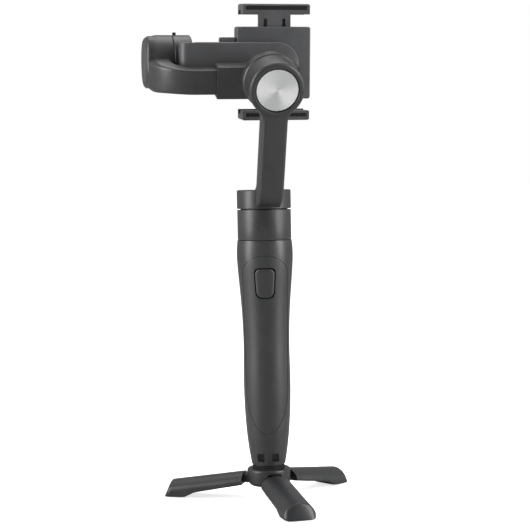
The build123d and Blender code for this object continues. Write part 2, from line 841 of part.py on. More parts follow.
# ================================================================ balance sleeve and tilt arm
sleeve_middle = (sleeve_left + sleeve_right) / 2
with BuildPart() as balance_sleeve:
    with BuildSketch(roll_face.offset(-cup_depth - seam)):
        Circle(rotor_radius)
    extrude(amount=cup_depth + seam - sleeve_front - 1.2)
    rotor_rims = balance_sleeve.edges().filter_by(GeomType.CIRCLE)
    chamfer(rotor_rims.sort_by(Axis((0, 0, 0), roll_face.z_dir))[-1], 0.8)
    with BuildSketch(roll_face.offset(-sleeve_front)):
        with Locations((sleeve_middle, -sleeve_drop)):
            RectangleRounded(sleeve_right - sleeve_left, sleeve_height, 0.8)
    extrude(amount=-sleeve_depth)
    with BuildSketch(Plane.YZ.offset(sleeve_left)):
        with Locations(up_arm(-sleeve_drop, sleeve_front + sleeve_depth / 2)):
            Rectangle(bar_depth + 2 * sliding, bar_height + 2 * sliding, rotation=lean)
    extrude(amount=sleeve_right - sleeve_left, mode=Mode.SUBTRACT)
    lock_plane = bar_plan.offset(-sleeve_drop - bar_height / 2 - sliding)
    with BuildSketch(lock_plane):
        with Locations((lock_x, sleeve_front + sleeve_depth / 2)):
            Circle(shaft_radius + running)
    extrude(amount=-sleeve_height, mode=Mode.SUBTRACT)
save(balance_sleeve.part, "balance_sleeve")

lock_seat = -sleeve_drop - sleeve_height / 2 - sliding
with BuildPart() as balance_lock:
    with BuildSketch(lock_plane):
        with Locations((lock_x, sleeve_front + sleeve_depth / 2)):
            Circle(shaft_radius)
    extrude(amount=-(sleeve_height - bar_height) / 2 - lock_length + 1)
    with BuildSketch(bar_plan.offset(lock_seat)):
        with Locations((lock_x, sleeve_front + sleeve_depth / 2)):
            Circle(lock_radius)
    extrude(amount=-lock_length)
    chamfer(balance_lock.edges().sort_by(Axis((0, 0, 0), bar_plan.z_dir))[0], 0.5)
    with BuildSketch(bar_plan.offset(lock_seat - 0.8)):
        with Locations((lock_x, sleeve_front + sleeve_depth / 2)):
            with PolarLocations(lock_radius + 0.3, 10):
                Circle(0.8)
    extrude(amount=-lock_length, mode=Mode.SUBTRACT)
save(balance_lock.part, "balance_lock")

bar_front = sleeve_front + (sleeve_depth - bar_depth) / 2
bar_back = bar_front + bar_depth
tilt_housing_depth = tilt_seam - tilt_left
tilt_cup_floor = disc_thickness + motor_floor
tilt_floor = across(tilt_left + tilt_cup_floor)
tilt_cavity = tilt_housing_depth - tilt_cup_floor
tilt_tube = bearing_tube(tilt_floor, tilt_cavity)
bend_inner = 11.8
bend_reach = roll_to_tilt - 11.0
with BuildPart() as tilt_cup:
    with BuildSketch(across(tilt_left)):
        Circle(motor_radius)
    extrude(amount=tilt_housing_depth)
    with BuildSketch(across(tilt_left)):
        RectangleRounded(2 * motor_radius, 2 * motor_radius, end_corner)
    extrude(amount=end_square)
    fillet(tilt_cup.edges().group_by(Axis.X)[0], 2.2)

with BuildPart() as tilt_arm:
    with BuildSketch(bar_plan.offset(-sleeve_drop - bar_height / 2)):
        with BuildLine():
            bend = EllipticalCenterArc(
                (bend_start, bend_reach),
                bend_start - tilt_left - 2.4,
                bend_reach - bar_front,
                180,
                arc_size=90,
            )
            hollow = CenterArc((bend_start, bar_back + bend_inner), bend_inner, 180, 90)
            Polyline(bend @ 1, (bar_tail, bar_front), (bar_tail, bar_back), hollow @ 1)
            Polyline(bend @ 0, (bend_start - bend_inner, bend_reach), hollow @ 0)
        make_face()
    extrude(amount=bar_height)
    add(tilt_cup.part)
    with BuildSketch(across(tilt_left)):
        Circle(disc_radius + disc_gap)
    extrude(amount=disc_thickness, mode=Mode.SUBTRACT)
    with BuildSketch(tilt_floor):
        Circle(motor_bore)
    extrude(amount=tilt_cavity, mode=Mode.SUBTRACT)
    add(tilt_tube)
save(tilt_arm.part, "tilt_arm")

nub_width = 2.4
nub_setback = 0.6
with BuildPart() as index_nub:
    with BuildSketch(Plane.XY.offset(tilt_z + motor_radius - 0.6)):
        with Locations((tilt_seam + seam + nub_width / 2 + nub_setback, tilt_y)):
            RectangleRounded(nub_width, nub_width, 0.6)
    extrude(amount=2.4)
    with BuildSketch(across(tilt_seam)):
        Circle(motor_radius)
    extrude(amount=tilt_right - tilt_seam, mode=Mode.SUBTRACT)
save(tipped(index_nub.part), "index_nub")

tilt_disc_plane = Plane(origin=(tilt_left, tilt_y, tilt_z), x_dir=(0, -1, 0), z_dir=(-1, 0, 0))
round_cap(tilt_disc_plane, "tilt_end_cap")
save_motor("tilt", tilt_floor, tilt_cavity, seam)

# ================================================================ phone arm
with BuildPart() as tilt_cap:
    with BuildSketch(across(tilt_seam + seam)):
        Circle(motor_radius)
    extrude(amount=tilt_right - tilt_seam - seam)
    fillet(tilt_cap.edges().sort_by(Axis.X)[-1], 1.4)
save(tipped(tilt_cap.part), "tilt_cap")

beam_rear = beam_front + beam_thickness
hub_end = tilt_right + 0.5
with BuildPart() as phone_arm:
    with BuildSketch(Plane.XY.offset(tilt_z - beam_height / 2)) as plan:
        with BuildLine():
            Polyline(
                (beam_left, beam_back),
                (beam_left, beam_front),
                (pivot_x + pivot_end_radius + 1, beam_front),
                (pivot_x + pivot_end_radius + 1, beam_rear),
                (hub_end, beam_rear),
                (hub_end, beam_back),
                close=True,
            )
        make_face()
        fillet(plan.vertices().group_by(Axis.Y)[0].sort_by(Axis.X)[0], beam_bend)
    extrude(amount=beam_height)
    with BuildSketch(Plane.XZ.offset(-beam_back - 1)):
        with Locations(((beam_left + pivot_x) / 2, tilt_z)):
            Rectangle(pivot_x - beam_left, beam_height)
        with Locations((pivot_x, tilt_z)):
            Circle(pivot_end_radius)
    extrude(amount=beam_back - beam_front + 2, mode=Mode.INTERSECT)
    front_edges = phone_arm.faces().sort_by(Axis.Y)[0].edges()
    left_edge = front_edges.sort_by(Axis.X)[0]
    fillet([edge for edge in front_edges if edge != left_edge], beam_edge)
    with BuildSketch(across(beam_left - 1)):
        Circle(motor_radius)
    extrude(amount=tilt_right + 1 - beam_left, mode=Mode.SUBTRACT)
    with BuildSketch(Plane.XZ.offset(-beam_rear)):
        with Locations((pivot_x, tilt_z)):
            Circle(pivot_radius)
    extrude(amount=beam_thickness - 2.5, mode=Mode.SUBTRACT)
save(tipped(phone_arm.part), "phone_arm")

# ================================================================ clamp
clamp_front = beam_rear + seam
clamp_back = clamp_front + clamp_depth
clamp_x = pivot_x + clamp_shift
clamp_left = clamp_x - clamp_width / 2
jaw_x = pivot_x + jaw_shift
clamp_top = tilt_z + clamp_height / 2
clamp_base = tilt_z - clamp_height / 2
head_front = clamp_front + clamp_wall + sliding
tongue_front = head_front + pivot_head_thickness + seam
tongue_back = tongue_front + tongue_thickness
phone_back = clamp_back + rear_pad
jaw_back = tongue_front + jaw_depth
upper_face = tilt_z + grip_gap / 2
lower_face = tilt_z - grip_gap / 2
pad_front = phone_back - 0.2
pad_back = pad_front + phone_thickness + 0.4

with BuildPart() as clamp_pivot:
    with BuildSketch(Plane.XZ.offset(-beam_rear + beam_thickness - 2.5)):
        with Locations((pivot_x, tilt_z)):
            Circle(pivot_radius)
    extrude(amount=-(head_front - beam_rear + beam_thickness - 2.5))
    with BuildSketch(Plane.XZ.offset(-head_front)):
        with Locations((pivot_x, tilt_z)):
            Circle(pivot_head)
    extrude(amount=-pivot_head_thickness)
save(tipped(clamp_pivot.part), "clamp_pivot")

slot_width = tongue_width + 2 * sliding
with BuildPart() as clamp_body:
    with BuildSketch(Plane.XY.offset(clamp_base)) as clamp_plan:
        with Locations((clamp_x, (clamp_front + clamp_back) / 2)):
            Rectangle(clamp_width, clamp_depth)
        fillet(clamp_plan.vertices().group_by(Axis.Y)[0], clamp_edge)
    extrude(amount=clamp_height)
    with BuildSketch(Plane.XZ.offset(-clamp_front - clamp_wall)):
        with Locations((clamp_x, tilt_z)):
            Rectangle(clamp_width - 2 * clamp_wall, clamp_height - 2 * clamp_wall)
    extrude(amount=-clamp_depth, mode=Mode.SUBTRACT)
    with BuildSketch(Plane.XY.offset(clamp_base - 1)):
        with Locations((pivot_x, (tongue_front + tongue_back) / 2)):
            Rectangle(slot_width, tongue_thickness + 2 * sliding)
    extrude(amount=clamp_height + 2, mode=Mode.SUBTRACT)
    with BuildSketch(Plane.XZ.offset(-clamp_front + 1)):
        with Locations((pivot_x, tilt_z)):
            Circle(pivot_radius + running)
    extrude(amount=-clamp_wall - 2, mode=Mode.SUBTRACT)
save(tipped(clamp_body.part), "clamp_body")

with BuildPart() as clamp_back_plate:
    with BuildSketch(Plane.XZ.offset(-clamp_back)):
        with Locations((clamp_x, tilt_z)):
            Rectangle(clamp_width - 2 * clamp_wall, clamp_height - 2 * clamp_wall)
    extrude(amount=clamp_cover)
save(tipped(clamp_back_plate.part), "clamp_back_plate")

with BuildPart() as back_pad:
    with BuildSketch(Plane.XZ.offset(-clamp_back)):
        with Locations((clamp_x, tilt_z)):
            RectangleRounded(clamp_width - 9, clamp_height - 9, 3)
    extrude(amount=-rear_pad)
save(tipped(back_pad.part), "back_pad")

tab_reach = 12.0
tab_rise = 15.6
tab_height = 3.8
with BuildPart() as clamp_latch:
    with BuildSketch(Plane.XZ.offset(-clamp_front - 1.5)):
        with Locations((clamp_left - tab_reach / 2, tilt_z + tab_rise)):
            RectangleRounded(tab_reach, tab_height, 1.2)
    extrude(amount=-5)
save(tipped(clamp_latch.part), "clamp_latch")


def jaw_profile(face, sign, height, lip):
    """Side outline of a jaw in Y and Z: a block with a channel for the phone's edge and its pad."""
    floor = face + sign * jaw_pad
    outer = face - sign * lip + sign * height
    with BuildSketch(Plane.YZ.offset(jaw_x - jaw_width / 2)) as outline:
        with BuildLine():
            Polyline(
                (tongue_front, face - sign * lip),
                (pad_front, face - sign * lip),
                (pad_front, floor),
                (pad_back, floor),
                (pad_back, face - sign * back_lip),
                (jaw_back, face - sign * back_lip),
                (jaw_back, outer),
                (tongue_front, outer),
                close=True,
            )
        make_face()
    return outline.sketch


upper_form = jaw_profile(upper_face, 1, upper_jaw_height, upper_lip)
lower_form = jaw_profile(lower_face, -1, lower_jaw_height, lower_lip)
tongue_base = clamp_top - tongue_overlap
lip_level = upper_face - upper_lip
inlay_width = jaw_width - 4.0
inlay_height = 2.6
inlay_depth = 1.4


def jaw_inlay(height, depth):
    """Long shallow recess in a jaw's front, as a solid."""
    with BuildPart() as inlay:
        with BuildSketch(Plane.XZ.offset(-tongue_front)):
            with Locations((jaw_x, height)):
                RectangleRounded(inlay_width, inlay_height, 0.8)
        extrude(amount=-depth)
    return inlay.part


upper_inlay_height = lip_level + upper_jaw_height * 0.6
lower_inlay_height = lower_face + lower_lip - lower_jaw_height * 0.42

with BuildPart() as upper_jaw:
    extrude(upper_form, amount=jaw_width)
    outside_edges = upper_jaw.faces().sort_by(Axis.Z)[-1].edges()
    fillet(outside_edges, 1.4)
    add(jaw_inlay(upper_inlay_height, inlay_depth), mode=Mode.SUBTRACT)
    with BuildSketch(Plane.XZ.offset(-tongue_front)):
        with Locations((pivot_x, (tongue_base + lip_level + 1) / 2)):
            Rectangle(tongue_width, lip_level + 1 - tongue_base)
    extrude(amount=-tongue_thickness)
    with BuildSketch(Plane.XZ.offset(-tongue_front)):
        with Locations((pivot_x, (tongue_base + lip_level) / 2)):
            with GridLocations(2 * (tongue_width / 2 - tongue_slot * 2), 0, 2, 1):
                Rectangle(tongue_slot, lip_level - tongue_base - 6)
    extrude(amount=-tongue_slot_depth, mode=Mode.SUBTRACT)
    with BuildSketch(Plane.XZ.offset(-tongue_front)):
        with Locations((pivot_x, tongue_base + 1.6)):
            Rectangle(2 * 17.8, 3.2)
    extrude(amount=-tongue_thickness)
save(tipped(upper_jaw.part), "upper_jaw")

with BuildPart() as lower_jaw:
    extrude(lower_form, amount=jaw_width)
    outside_edges = lower_jaw.faces().sort_by(Axis.Z)[0].edges()
    fillet(outside_edges, 1.4)
    with BuildSketch(Plane.XZ.offset(-tongue_front)):
        with Locations((pivot_x, (lower_face + clamp_base + 8) / 2)):
            Rectangle(tongue_width, clamp_base + 8 - lower_face)
    extrude(amount=-tongue_thickness)
    add(jaw_inlay(lower_inlay_height, inlay_depth), mode=Mode.SUBTRACT)
save(tipped(lower_jaw.part), "lower_jaw")


def jaw_pad_pieces(face, sign, lip, inlay_at, name):
    """Rubber lining of a jaw: the strip the phone's edge sits on, and the insert in its front."""
    inlay = jaw_inlay(inlay_at, inlay_depth)
    with BuildPart() as lining:
        with BuildSketch(Plane.XY.offset(face)):
            with Locations((jaw_x, (pad_front + pad_back) / 2)):
                Rectangle(jaw_width - 1, pad_back - pad_front)
        extrude(amount=sign * jaw_pad)
        with BuildSketch(Plane.XY.offset(face - sign * lip)):
            with Locations((jaw_x, (tongue_back + 0.4 + pad_front) / 2)):
                Rectangle(jaw_width - 1, pad_front - tongue_back - 0.4)
        extrude(amount=-sign * jaw_pad)
        add(inlay)
    save(tipped(lining.part), name)


jaw_pad_pieces(upper_face, 1, upper_lip, upper_inlay_height, "upper_jaw_pad")
jaw_pad_pieces(lower_face, -1, lower_lip, lower_inlay_height, "lower_jaw_pad")

spring_base = clamp_base + clamp_wall
spring_height = tongue_base - spring_base
spring_y = tongue_front + tongue_thickness / 2
with BuildPart() as clamp_springs:
    for x in (pivot_x - 15.2, pivot_x + 15.2):
        with BuildSketch(Plane.XY.offset(spring_base)):
            with Locations((x, spring_y)):
                Circle(spring_radius)
                Circle(spring_radius - spring_wire, mode=Mode.SUBTRACT)
        extrude(amount=spring_height)
save(tipped(clamp_springs.part), "clamp_springs")
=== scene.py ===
"""Looks of a phone gimbal on a telescopic grip and a folding tabletop tripod.

Lengths in the local frames are millimetres; the meshes are in metres, in the CAD's own frame.  The
lens side of the phone faces -Y and the operator stands at +Y.
"""
import bmesh
import bpy
import json
import math
import numpy as np
from mathutils import Matrix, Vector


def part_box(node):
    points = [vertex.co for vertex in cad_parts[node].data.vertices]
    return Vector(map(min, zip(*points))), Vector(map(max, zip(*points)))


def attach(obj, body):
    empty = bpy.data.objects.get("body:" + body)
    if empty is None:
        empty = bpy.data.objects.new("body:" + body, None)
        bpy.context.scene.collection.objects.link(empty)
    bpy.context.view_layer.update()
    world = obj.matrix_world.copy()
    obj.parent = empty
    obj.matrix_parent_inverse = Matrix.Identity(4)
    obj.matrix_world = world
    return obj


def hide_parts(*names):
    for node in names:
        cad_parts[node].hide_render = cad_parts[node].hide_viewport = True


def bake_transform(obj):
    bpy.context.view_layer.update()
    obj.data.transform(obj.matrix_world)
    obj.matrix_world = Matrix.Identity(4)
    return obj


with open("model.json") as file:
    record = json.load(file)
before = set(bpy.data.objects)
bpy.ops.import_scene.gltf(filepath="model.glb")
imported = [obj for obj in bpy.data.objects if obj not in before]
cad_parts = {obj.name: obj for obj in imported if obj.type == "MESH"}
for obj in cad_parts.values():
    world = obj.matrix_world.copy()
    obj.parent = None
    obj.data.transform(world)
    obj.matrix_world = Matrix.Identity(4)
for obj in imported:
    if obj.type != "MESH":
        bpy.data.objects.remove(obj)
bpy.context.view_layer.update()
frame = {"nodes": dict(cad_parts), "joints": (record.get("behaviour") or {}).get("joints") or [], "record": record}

MM = 0.001
body_of = {n: b for b, members in frame["record"]["behaviour"]["bodies"].items() for n in members}
slot_of = {s["node"]: s["material_slot"] for s in frame["record"]["subparts"]}


# ---- material groups
def new_group(name, inputs, outputs):
    """An empty shader node group with its sockets, and its two end nodes."""
    group = bpy.data.node_groups.new(name, "ShaderNodeTree")
    for label, kind, default in inputs:
        socket = group.interface.new_socket(label, in_out="INPUT", socket_type="NodeSocket" + kind)
        socket.default_value = default
    for label, kind in outputs:
        group.interface.new_socket(label, in_out="OUTPUT", socket_type="NodeSocket" + kind)
    return group, group.nodes.new("NodeGroupInput"), group.nodes.new("NodeGroupOutput")


def feed(tree, socket, value):
    """Links a socket to another one, or sets it to a value."""
    if isinstance(value, bpy.types.NodeSocket):
        tree.links.new(value, socket)
    else:
        socket.default_value = value


def feed_inputs(tree, made, **values):
    """Links or sets inputs of a node by their names."""
    for label, value in values.items():
        feed(tree, made.inputs[label.replace("_", " ")], value)


def node(tree, kind, **settings):
    """One shader node with its settings; in_ and an input's name or number sets or links it."""
    made = tree.nodes.new("ShaderNode" + kind)
    for key, value in settings.items():
        if key.startswith("in_"):
            wanted = key[3:]
            feed(tree, made.inputs[int(wanted) if wanted.isdigit() else wanted.replace("_", " ")], value)
        else:
            setattr(made, key, value)
    return made


def mix_colour(tree, factor, a, b):
    """Colour a turned into colour b by a factor."""
    return node(tree, "Mix", data_type="RGBA", in_0=factor, in_6=a, in_7=b).outputs[2]


def noise(tree, place, scale, detail, across="3D", **more):
    """Value of a noise texture at a place, or at one number where it runs across 1D."""
    made = node(tree, "TexNoise", noise_dimensions=across, in_Scale=scale, in_Detail=detail, **more)
    feed(tree, made.inputs["W" if across == "1D" else "Vector"], place)
    return made.outputs[0]


def maths(tree, operation, *values, clamp=False):
    """One Math node."""
    made = node(tree, "Math", operation=operation, use_clamp=clamp)
    for socket, value in zip(made.inputs, values):
        feed(tree, socket, value)
    return made.outputs[0]


def ramp(tree, value, low, high, to_low=0.0, to_high=1.0):
    """A value carried from one range to another, smoothly, and held at the ends."""
    made = node(tree, "MapRange", interpolation_type="SMOOTHSTEP", in_Value=value)
    feed_inputs(tree, made, From_Min=low, From_Max=high, To_Min=to_low, To_Max=to_high)
    return made.outputs[0]


def moulded_grain():
    """Spark-eroded mould texture: two sizes of grain as a height, and a slow mottle as a mask."""
    group, given, out = new_group(
        "Moulded grain",
        [("Grain per metre", "Float", 2600.0), ("Mottle per metre", "Float", 60.0)],
        [("Height", "Float"), ("Mottle", "Float")],
    )
    place = node(group, "TexCoord").outputs["Object"]
    fine = noise(group, place, given.outputs[0], 3.0, in_Roughness=0.6)
    pits = node(group, "TexVoronoi", in_Vector=place, in_Scale=given.outputs[0])
    height = maths(group, "MULTIPLY_ADD", pits.outputs["Distance"], 0.45, fine)
    slow = noise(group, place, given.outputs[1], 4.0, in_Roughness=0.55)
    group.links.new(height, out.inputs[0])
    group.links.new(ramp(group, slow, 0.32, 0.68), out.inputs[1])
    return group


def edge_rubbing_and_highlight():
    """Mask of convex edges, paler as partly rubbed and partly painted highlight: how far a rounded normal leans
    from the true one, broken up by noise.
    """
    group, given, out = new_group(
        "Edge rubbing and painted highlight",
        [("Radius", "Float", 0.0005), ("Amount", "Float", 0.6)],
        [("Mask", "Float")],
    )
    rounded = node(group, "Bevel", samples=4, in_Radius=given.outputs[0])
    true_normal = node(group, "NewGeometry").outputs["Normal"]
    agree = node(group, "VectorMath", operation="DOT_PRODUCT", in_0=rounded.outputs[0], in_1=true_normal)
    lean = maths(group, "SUBTRACT", 1.0, agree.outputs["Value"])
    place = node(group, "TexCoord").outputs["Object"]
    broken = ramp(group, noise(group, place, 420.0, 3.0), 0.35, 0.62, 0.35, 1.0)
    # Paler edges: partly rubbing, partly a painted highlight along convex edges.
    edge = maths(group, "MULTIPLY", ramp(group, lean, 0.012, 0.16), broken)
    group.links.new(maths(group, "MULTIPLY", edge, given.outputs[1], clamp=True), out.inputs[0])
    return group


def handling():
    """Mask of faint smears and dust that handling leaves on a dark surface."""
    group, given, out = new_group(
        "Handling", [("Amount", "Float", 0.5)], [("Smear", "Float"), ("Dust", "Float")]
    )
    place = node(group, "TexCoord").outputs["Object"]
    smear = ramp(group, noise(group, place, 35.0, 2.0, in_Distortion=0.8), 0.46, 0.66)
    specks = node(group, "TexVoronoi", in_Vector=place, in_Scale=620.0, in_Randomness=1.0)
    near = ramp(group, specks.outputs["Distance"], 0.055, 0.02)
    sparse = ramp(group, noise(group, place, 90.0, 2.0), 0.5, 0.66)
    dust = maths(group, "MULTIPLY", near, sparse)
    group.links.new(maths(group, "MULTIPLY", smear, given.outputs[0]), out.inputs[0])
    group.links.new(maths(group, "MULTIPLY", dust, given.outputs[0]), out.inputs[1])
    return group


GRAIN, EDGE_RUBBING_AND_HIGHLIGHT, HANDLED = moulded_grain(), edge_rubbing_and_highlight(), handling()


def placed_group(tree, group, **values):
    """A node group in a material, with its own values."""
    made = tree.nodes.new("ShaderNodeGroup")
    made.node_tree = group
    feed_inputs(tree, made, **values)
    return made


def new_material(name):
    """A material with one Principled shader; returns it, its tree and the shader."""
    made = bpy.data.materials.new(name)
    made.use_nodes = True
    tree = made.node_tree
    shader = next(n for n in tree.nodes if n.type == "BSDF_PRINCIPLED")
    return made, tree, shader


def moulded(name, colour, rubbed_and_highlit, rough, grain=2600.0, depth=0.00002, rubbing_and_highlight=0.5, specular=0.5):
    """Satin moulded plastic: fine grain, mottled gloss, paler edges (partly rubbed, partly painted highlight),
    faint smears and dust.
    """
    made, tree, shader = new_material(name)
    texture = placed_group(tree, GRAIN, Grain_per_metre=grain)
    edges = placed_group(tree, EDGE_RUBBING_AND_HIGHLIGHT, Amount=rubbing_and_highlight)
    used = placed_group(tree, HANDLED, Amount=0.5)
    dark = tuple(c * 0.86 for c in colour) + (1,)
    mottled = mix_colour(tree, texture.outputs["Mottle"], dark, colour + (1,))
    # Painted highlight, partly rubbing: convex edges are paler in the base colour.
    edged = mix_colour(tree, edges.outputs["Mask"], mottled, rubbed_and_highlit + (1,))
    dusted = mix_colour(tree, used.outputs["Dust"], edged, (0.42, 0.41, 0.39, 1))
    gloss = ramp(tree, texture.outputs["Mottle"], 0.0, 1.0, rough - 0.035, rough + 0.035)
    smeared = maths(tree, "MULTIPLY_ADD", used.outputs["Smear"], -0.07, gloss)
    polished = maths(tree, "MULTIPLY_ADD", edges.outputs["Mask"], -0.1, smeared)
    bump = node(tree, "Bump", in_Strength=0.35, in_Distance=depth, in_Height=texture.outputs["Height"])
    feed_inputs(tree, shader, Base_Color=dusted, Roughness=polished, Normal=bump.outputs[0])
    feed_inputs(tree, shader, Specular_IOR_Level=specular)
    return made


def metal(name, colour, rough, streak=1400.0, rubbing_and_highlight=0.3, rubbed_and_highlit=(0.8, 0.8, 0.8)):
    """Turned or pressed metal: fine uneven streaks in the gloss and bright edges, partly rubbed and partly painted
    highlight.
    """
    made, tree, shader = new_material(name)
    place = node(tree, "TexCoord").outputs["Object"]
    fine = noise(tree, place, streak, 4.0)
    slow = noise(tree, place, 120.0, 3.0)
    edges = placed_group(tree, EDGE_RUBBING_AND_HIGHLIGHT, Amount=rubbing_and_highlight)
    dark = tuple(c * 0.8 for c in colour) + (1,)
    tone = mix_colour(tree, ramp(tree, slow, 0.3, 0.7), dark, colour + (1,))
    # Painted highlight, partly rubbing: convex edges are brighter in the base colour.
    edged = mix_colour(tree, edges.outputs["Mask"], tone, rubbed_and_highlit + (1,))
    gloss = ramp(tree, fine, 0.3, 0.7, rough - 0.05, rough + 0.06)
    bump = node(tree, "Bump", in_Strength=0.2, in_Distance=0.00001, in_Height=fine)
    feed_inputs(tree, shader, Base_Color=edged, Metallic=1.0, Roughness=gloss, Normal=bump.outputs[0])
    return made


def spun_face():
    """Lathe-turned aluminium: fine rings in the gloss, and bright fans painted into its colour as highlights.

    The piece's own UV map holds the turn round the disc (u) and the distance from its centre (v).
    The fans are two soft waves of the turn in the base colour, a painted highlight that stands for the way such a
    face stretches light.
    """
    made, tree, shader = new_material("Spun aluminium")
    place = node(tree, "UVMap", uv_map="Turned").outputs[0]
    turn_share, radius_share, _ = node(tree, "SeparateXYZ", in_0=place).outputs
    turn = maths(tree, "MULTIPLY", turn_share, 2 * math.pi)
    # Painted highlight: two waves of the turn, with random streaks, make bright fans in the base colour.
    wide = maths(tree, "COSINE", maths(tree, "MULTIPLY_ADD", turn, 2.0, 0.75))
    narrow = maths(tree, "COSINE", maths(tree, "MULTIPLY_ADD", turn, 3.0, 2.1))
    fan = maths(tree, "MULTIPLY_ADD", narrow, 0.4, wide)
    around = noise(tree, turn_share, 9.0, 3.0, across="1D")
    streak = maths(tree, "MULTIPLY_ADD", around, 0.5, fan)
    tone = mix_colour(tree, ramp(tree, streak, -1.1, 1.6), (0.62, 0.64, 0.63, 1), (1.0, 1.0, 1.0, 1))
    rings = noise(tree, radius_share, 420.0, 2.0, across="1D")
    fine = maths(tree, "MULTIPLY", ramp(tree, rings, 0.3, 0.7), 0.12)
    ringed = mix_colour(tree, fine, tone, (0.5, 0.52, 0.51, 1))
    gloss = ramp(tree, rings, 0.3, 0.7, 0.22, 0.36)
    bump = node(tree, "Bump", in_Strength=0.15, in_Distance=0.00001, in_Height=rings)
    feed_inputs(tree, shader, Base_Color=ringed, Metallic=1.0, Roughness=gloss, Normal=bump.outputs[0])
    return made


def lamp_lens():
    """Milky window of the status lamp."""
    made, tree, shader = new_material("Lamp lens")
    place = node(tree, "TexCoord").outputs["Object"]
    cloudy = noise(tree, place, 900.0, 2.0)
    tone = mix_colour(tree, cloudy, (0.5, 0.56, 0.6, 1), (0.72, 0.78, 0.82, 1))
    feed_inputs(tree, shader, Base_Color=tone, Roughness=ramp(tree, cloudy, 0.3, 0.7, 0.22, 0.34))
    return made


MATERIALS = {
    "shell_plastic": moulded("Body plastic", (0.030, 0.0305, 0.032), (0.11, 0.11, 0.115), 0.42),
    "grip_plastic": moulded(
        "Grip plastic", (0.028, 0.0285, 0.030), (0.10, 0.10, 0.105), 0.46, 2000.0, 0.00003
    ),
    "tripod_plastic": moulded("Tripod plastic", (0.022, 0.0225, 0.024), (0.10, 0.10, 0.105), 0.38),
    "panel_plastic": moulded(
        "Panel plastic", (0.018, 0.0185, 0.02), (0.09, 0.09, 0.095), 0.34, 3200.0, 0.00001
    ),
    "soft_rubber": moulded(
        "Soft rubber", (0.009, 0.009, 0.0095), (0.04, 0.04, 0.04), 0.75, 1800.0, 0.00004,
        rubbing_and_highlight=0.3, specular=0.25,
    ),
    "spun_metal": spun_face(),
    "black_metal": metal("Black anodised metal", (0.06, 0.06, 0.064), 0.4, rubbed_and_highlit=(0.4, 0.4, 0.4)),
    "steel": metal("Steel", (0.56, 0.57, 0.58), 0.3),
    "motor_iron": metal("Motor iron", (0.045, 0.045, 0.048), 0.5, rubbed_and_highlit=(0.16, 0.16, 0.16)),
    "brass": metal("Brass", (0.72, 0.52, 0.22), 0.32),
    "cell_wrap": moulded("Cell wrap", (0.05, 0.11, 0.2), (0.2, 0.3, 0.4), 0.3),
    "board": moulded("Circuit board", (0.01, 0.06, 0.035), (0.3, 0.25, 0.1), 0.35),
    "lamp_window": lamp_lens(),
}
CLAMP_PLASTIC = moulded("Clamp plastic", (0.068, 0.069, 0.072), (0.16, 0.16, 0.165), 0.44, 2300.0)
LIGHTER = {"phone_arm", "clamp_body", "clamp_back_plate", "clamp_latch", "upper_jaw", "lower_jaw"}


def finish_of(node_name):
    """Material of a CAD node: its slot's, or the paler plastic of the clamp's own mouldings."""
    return CLAMP_PLASTIC if node_name in LIGHTER else MATERIALS[slot_of[node_name]]


# ---- local frames
def joint(name):
    """One joint of the record."""
    return next(j for j in frame["joints"] if j["name"] == name)


def standing(origin, x, z):
    """A local frame in millimetres: its origin, and its x, y and z axes as the rows of a matrix."""
    z = np.array(z, float) / np.linalg.norm(z)
    x = np.array(x, float) / np.linalg.norm(x)
    return np.array(origin, float), np.array([x, np.cross(z, x), z])


def span(node_name, place):
    """Least and greatest local coordinates of a CAD node, in millimetres."""
    mesh = frame["nodes"][node_name].data
    points = np.empty(3 * len(mesh.vertices))
    mesh.vertices.foreach_get("co", points)
    local = (points.reshape(-1, 3) / MM - place[0]) @ place[1].T
    return local.min(axis=0), local.max(axis=0)


def extents(node_name, place):
    """Least and greatest local coordinates of a CAD node, their middle and their differences."""
    low, high = span(node_name, place)
    return low, high, (low + high) / 2, high - low


def joint_point(name):
    """The point of a joint's axis, in millimetres."""
    return np.array(joint(name)["pos_m"]) / MM


RIGHT, UP = (1.0, 0.0, 0.0), (0.0, 0.0, 1.0)
roll_way = np.array(joint("roll")["axis"])
jaw_way = np.array(joint("jaw_slide")["axis"])
trigger_way = -np.array(joint("trigger_pull")["axis"])
button_way = -np.array(joint("shutter_press")["axis"])
# Pan: z up the grip.  Roll: z out of the disc, y up the leaning arm.  Bar: y back along the roll
# axis, z up the arm.  Tilt: z to the right, x to the rear.  Clamp: y to the rear, z up the jaws.
# Clamp face: y up the jaws, z to the front.  Front and rear: y up, z out of the trigger or the keys.
PAN = standing((0, 0, 0), RIGHT, UP)
ROLL = standing(joint_point("roll"), RIGHT, -roll_way)
BAR = standing(joint_point("roll"), RIGHT, np.cross(RIGHT, roll_way))
TILT = standing(joint_point("tilt") * (0, 1, 1), (0, 1, 0), RIGHT)
CLAMP = standing(joint_point("clamp_turn"), RIGHT, jaw_way)
CLAMP_FACE = (CLAMP[0], np.array([CLAMP[1][0], CLAMP[1][2], -CLAMP[1][1]]))
FRONT = standing((0, 0, 0), np.cross(UP, trigger_way), trigger_way)
REAR = standing((0, 0, 0), np.cross(UP, button_way), button_way)


# ---- surfaces
def grid_faces(rows, columns):
    """Quads between neighbours of a grid of points numbered row by row, each row a closed ring."""
    index = np.arange(rows * columns).reshape(rows, columns)
    index = np.hstack([index, index[:, :1]])
    corners = (index[:-1, :-1], index[:-1, 1:], index[1:, 1:], index[1:, :-1])
    return np.stack(corners, axis=-1).reshape(-1, 4).tolist()


def shell(rings, capped=True):
    """A closed skin over rings of points; the first and last ring are filled where asked."""
    rows, columns = rings.shape[:2]
    faces = grid_faces(rows, columns)
    if capped:
        faces.append(list(range(columns))[::-1])
        faces.append(list(range((rows - 1) * columns, rows * columns)))
    return rings.reshape(-1, 3), faces


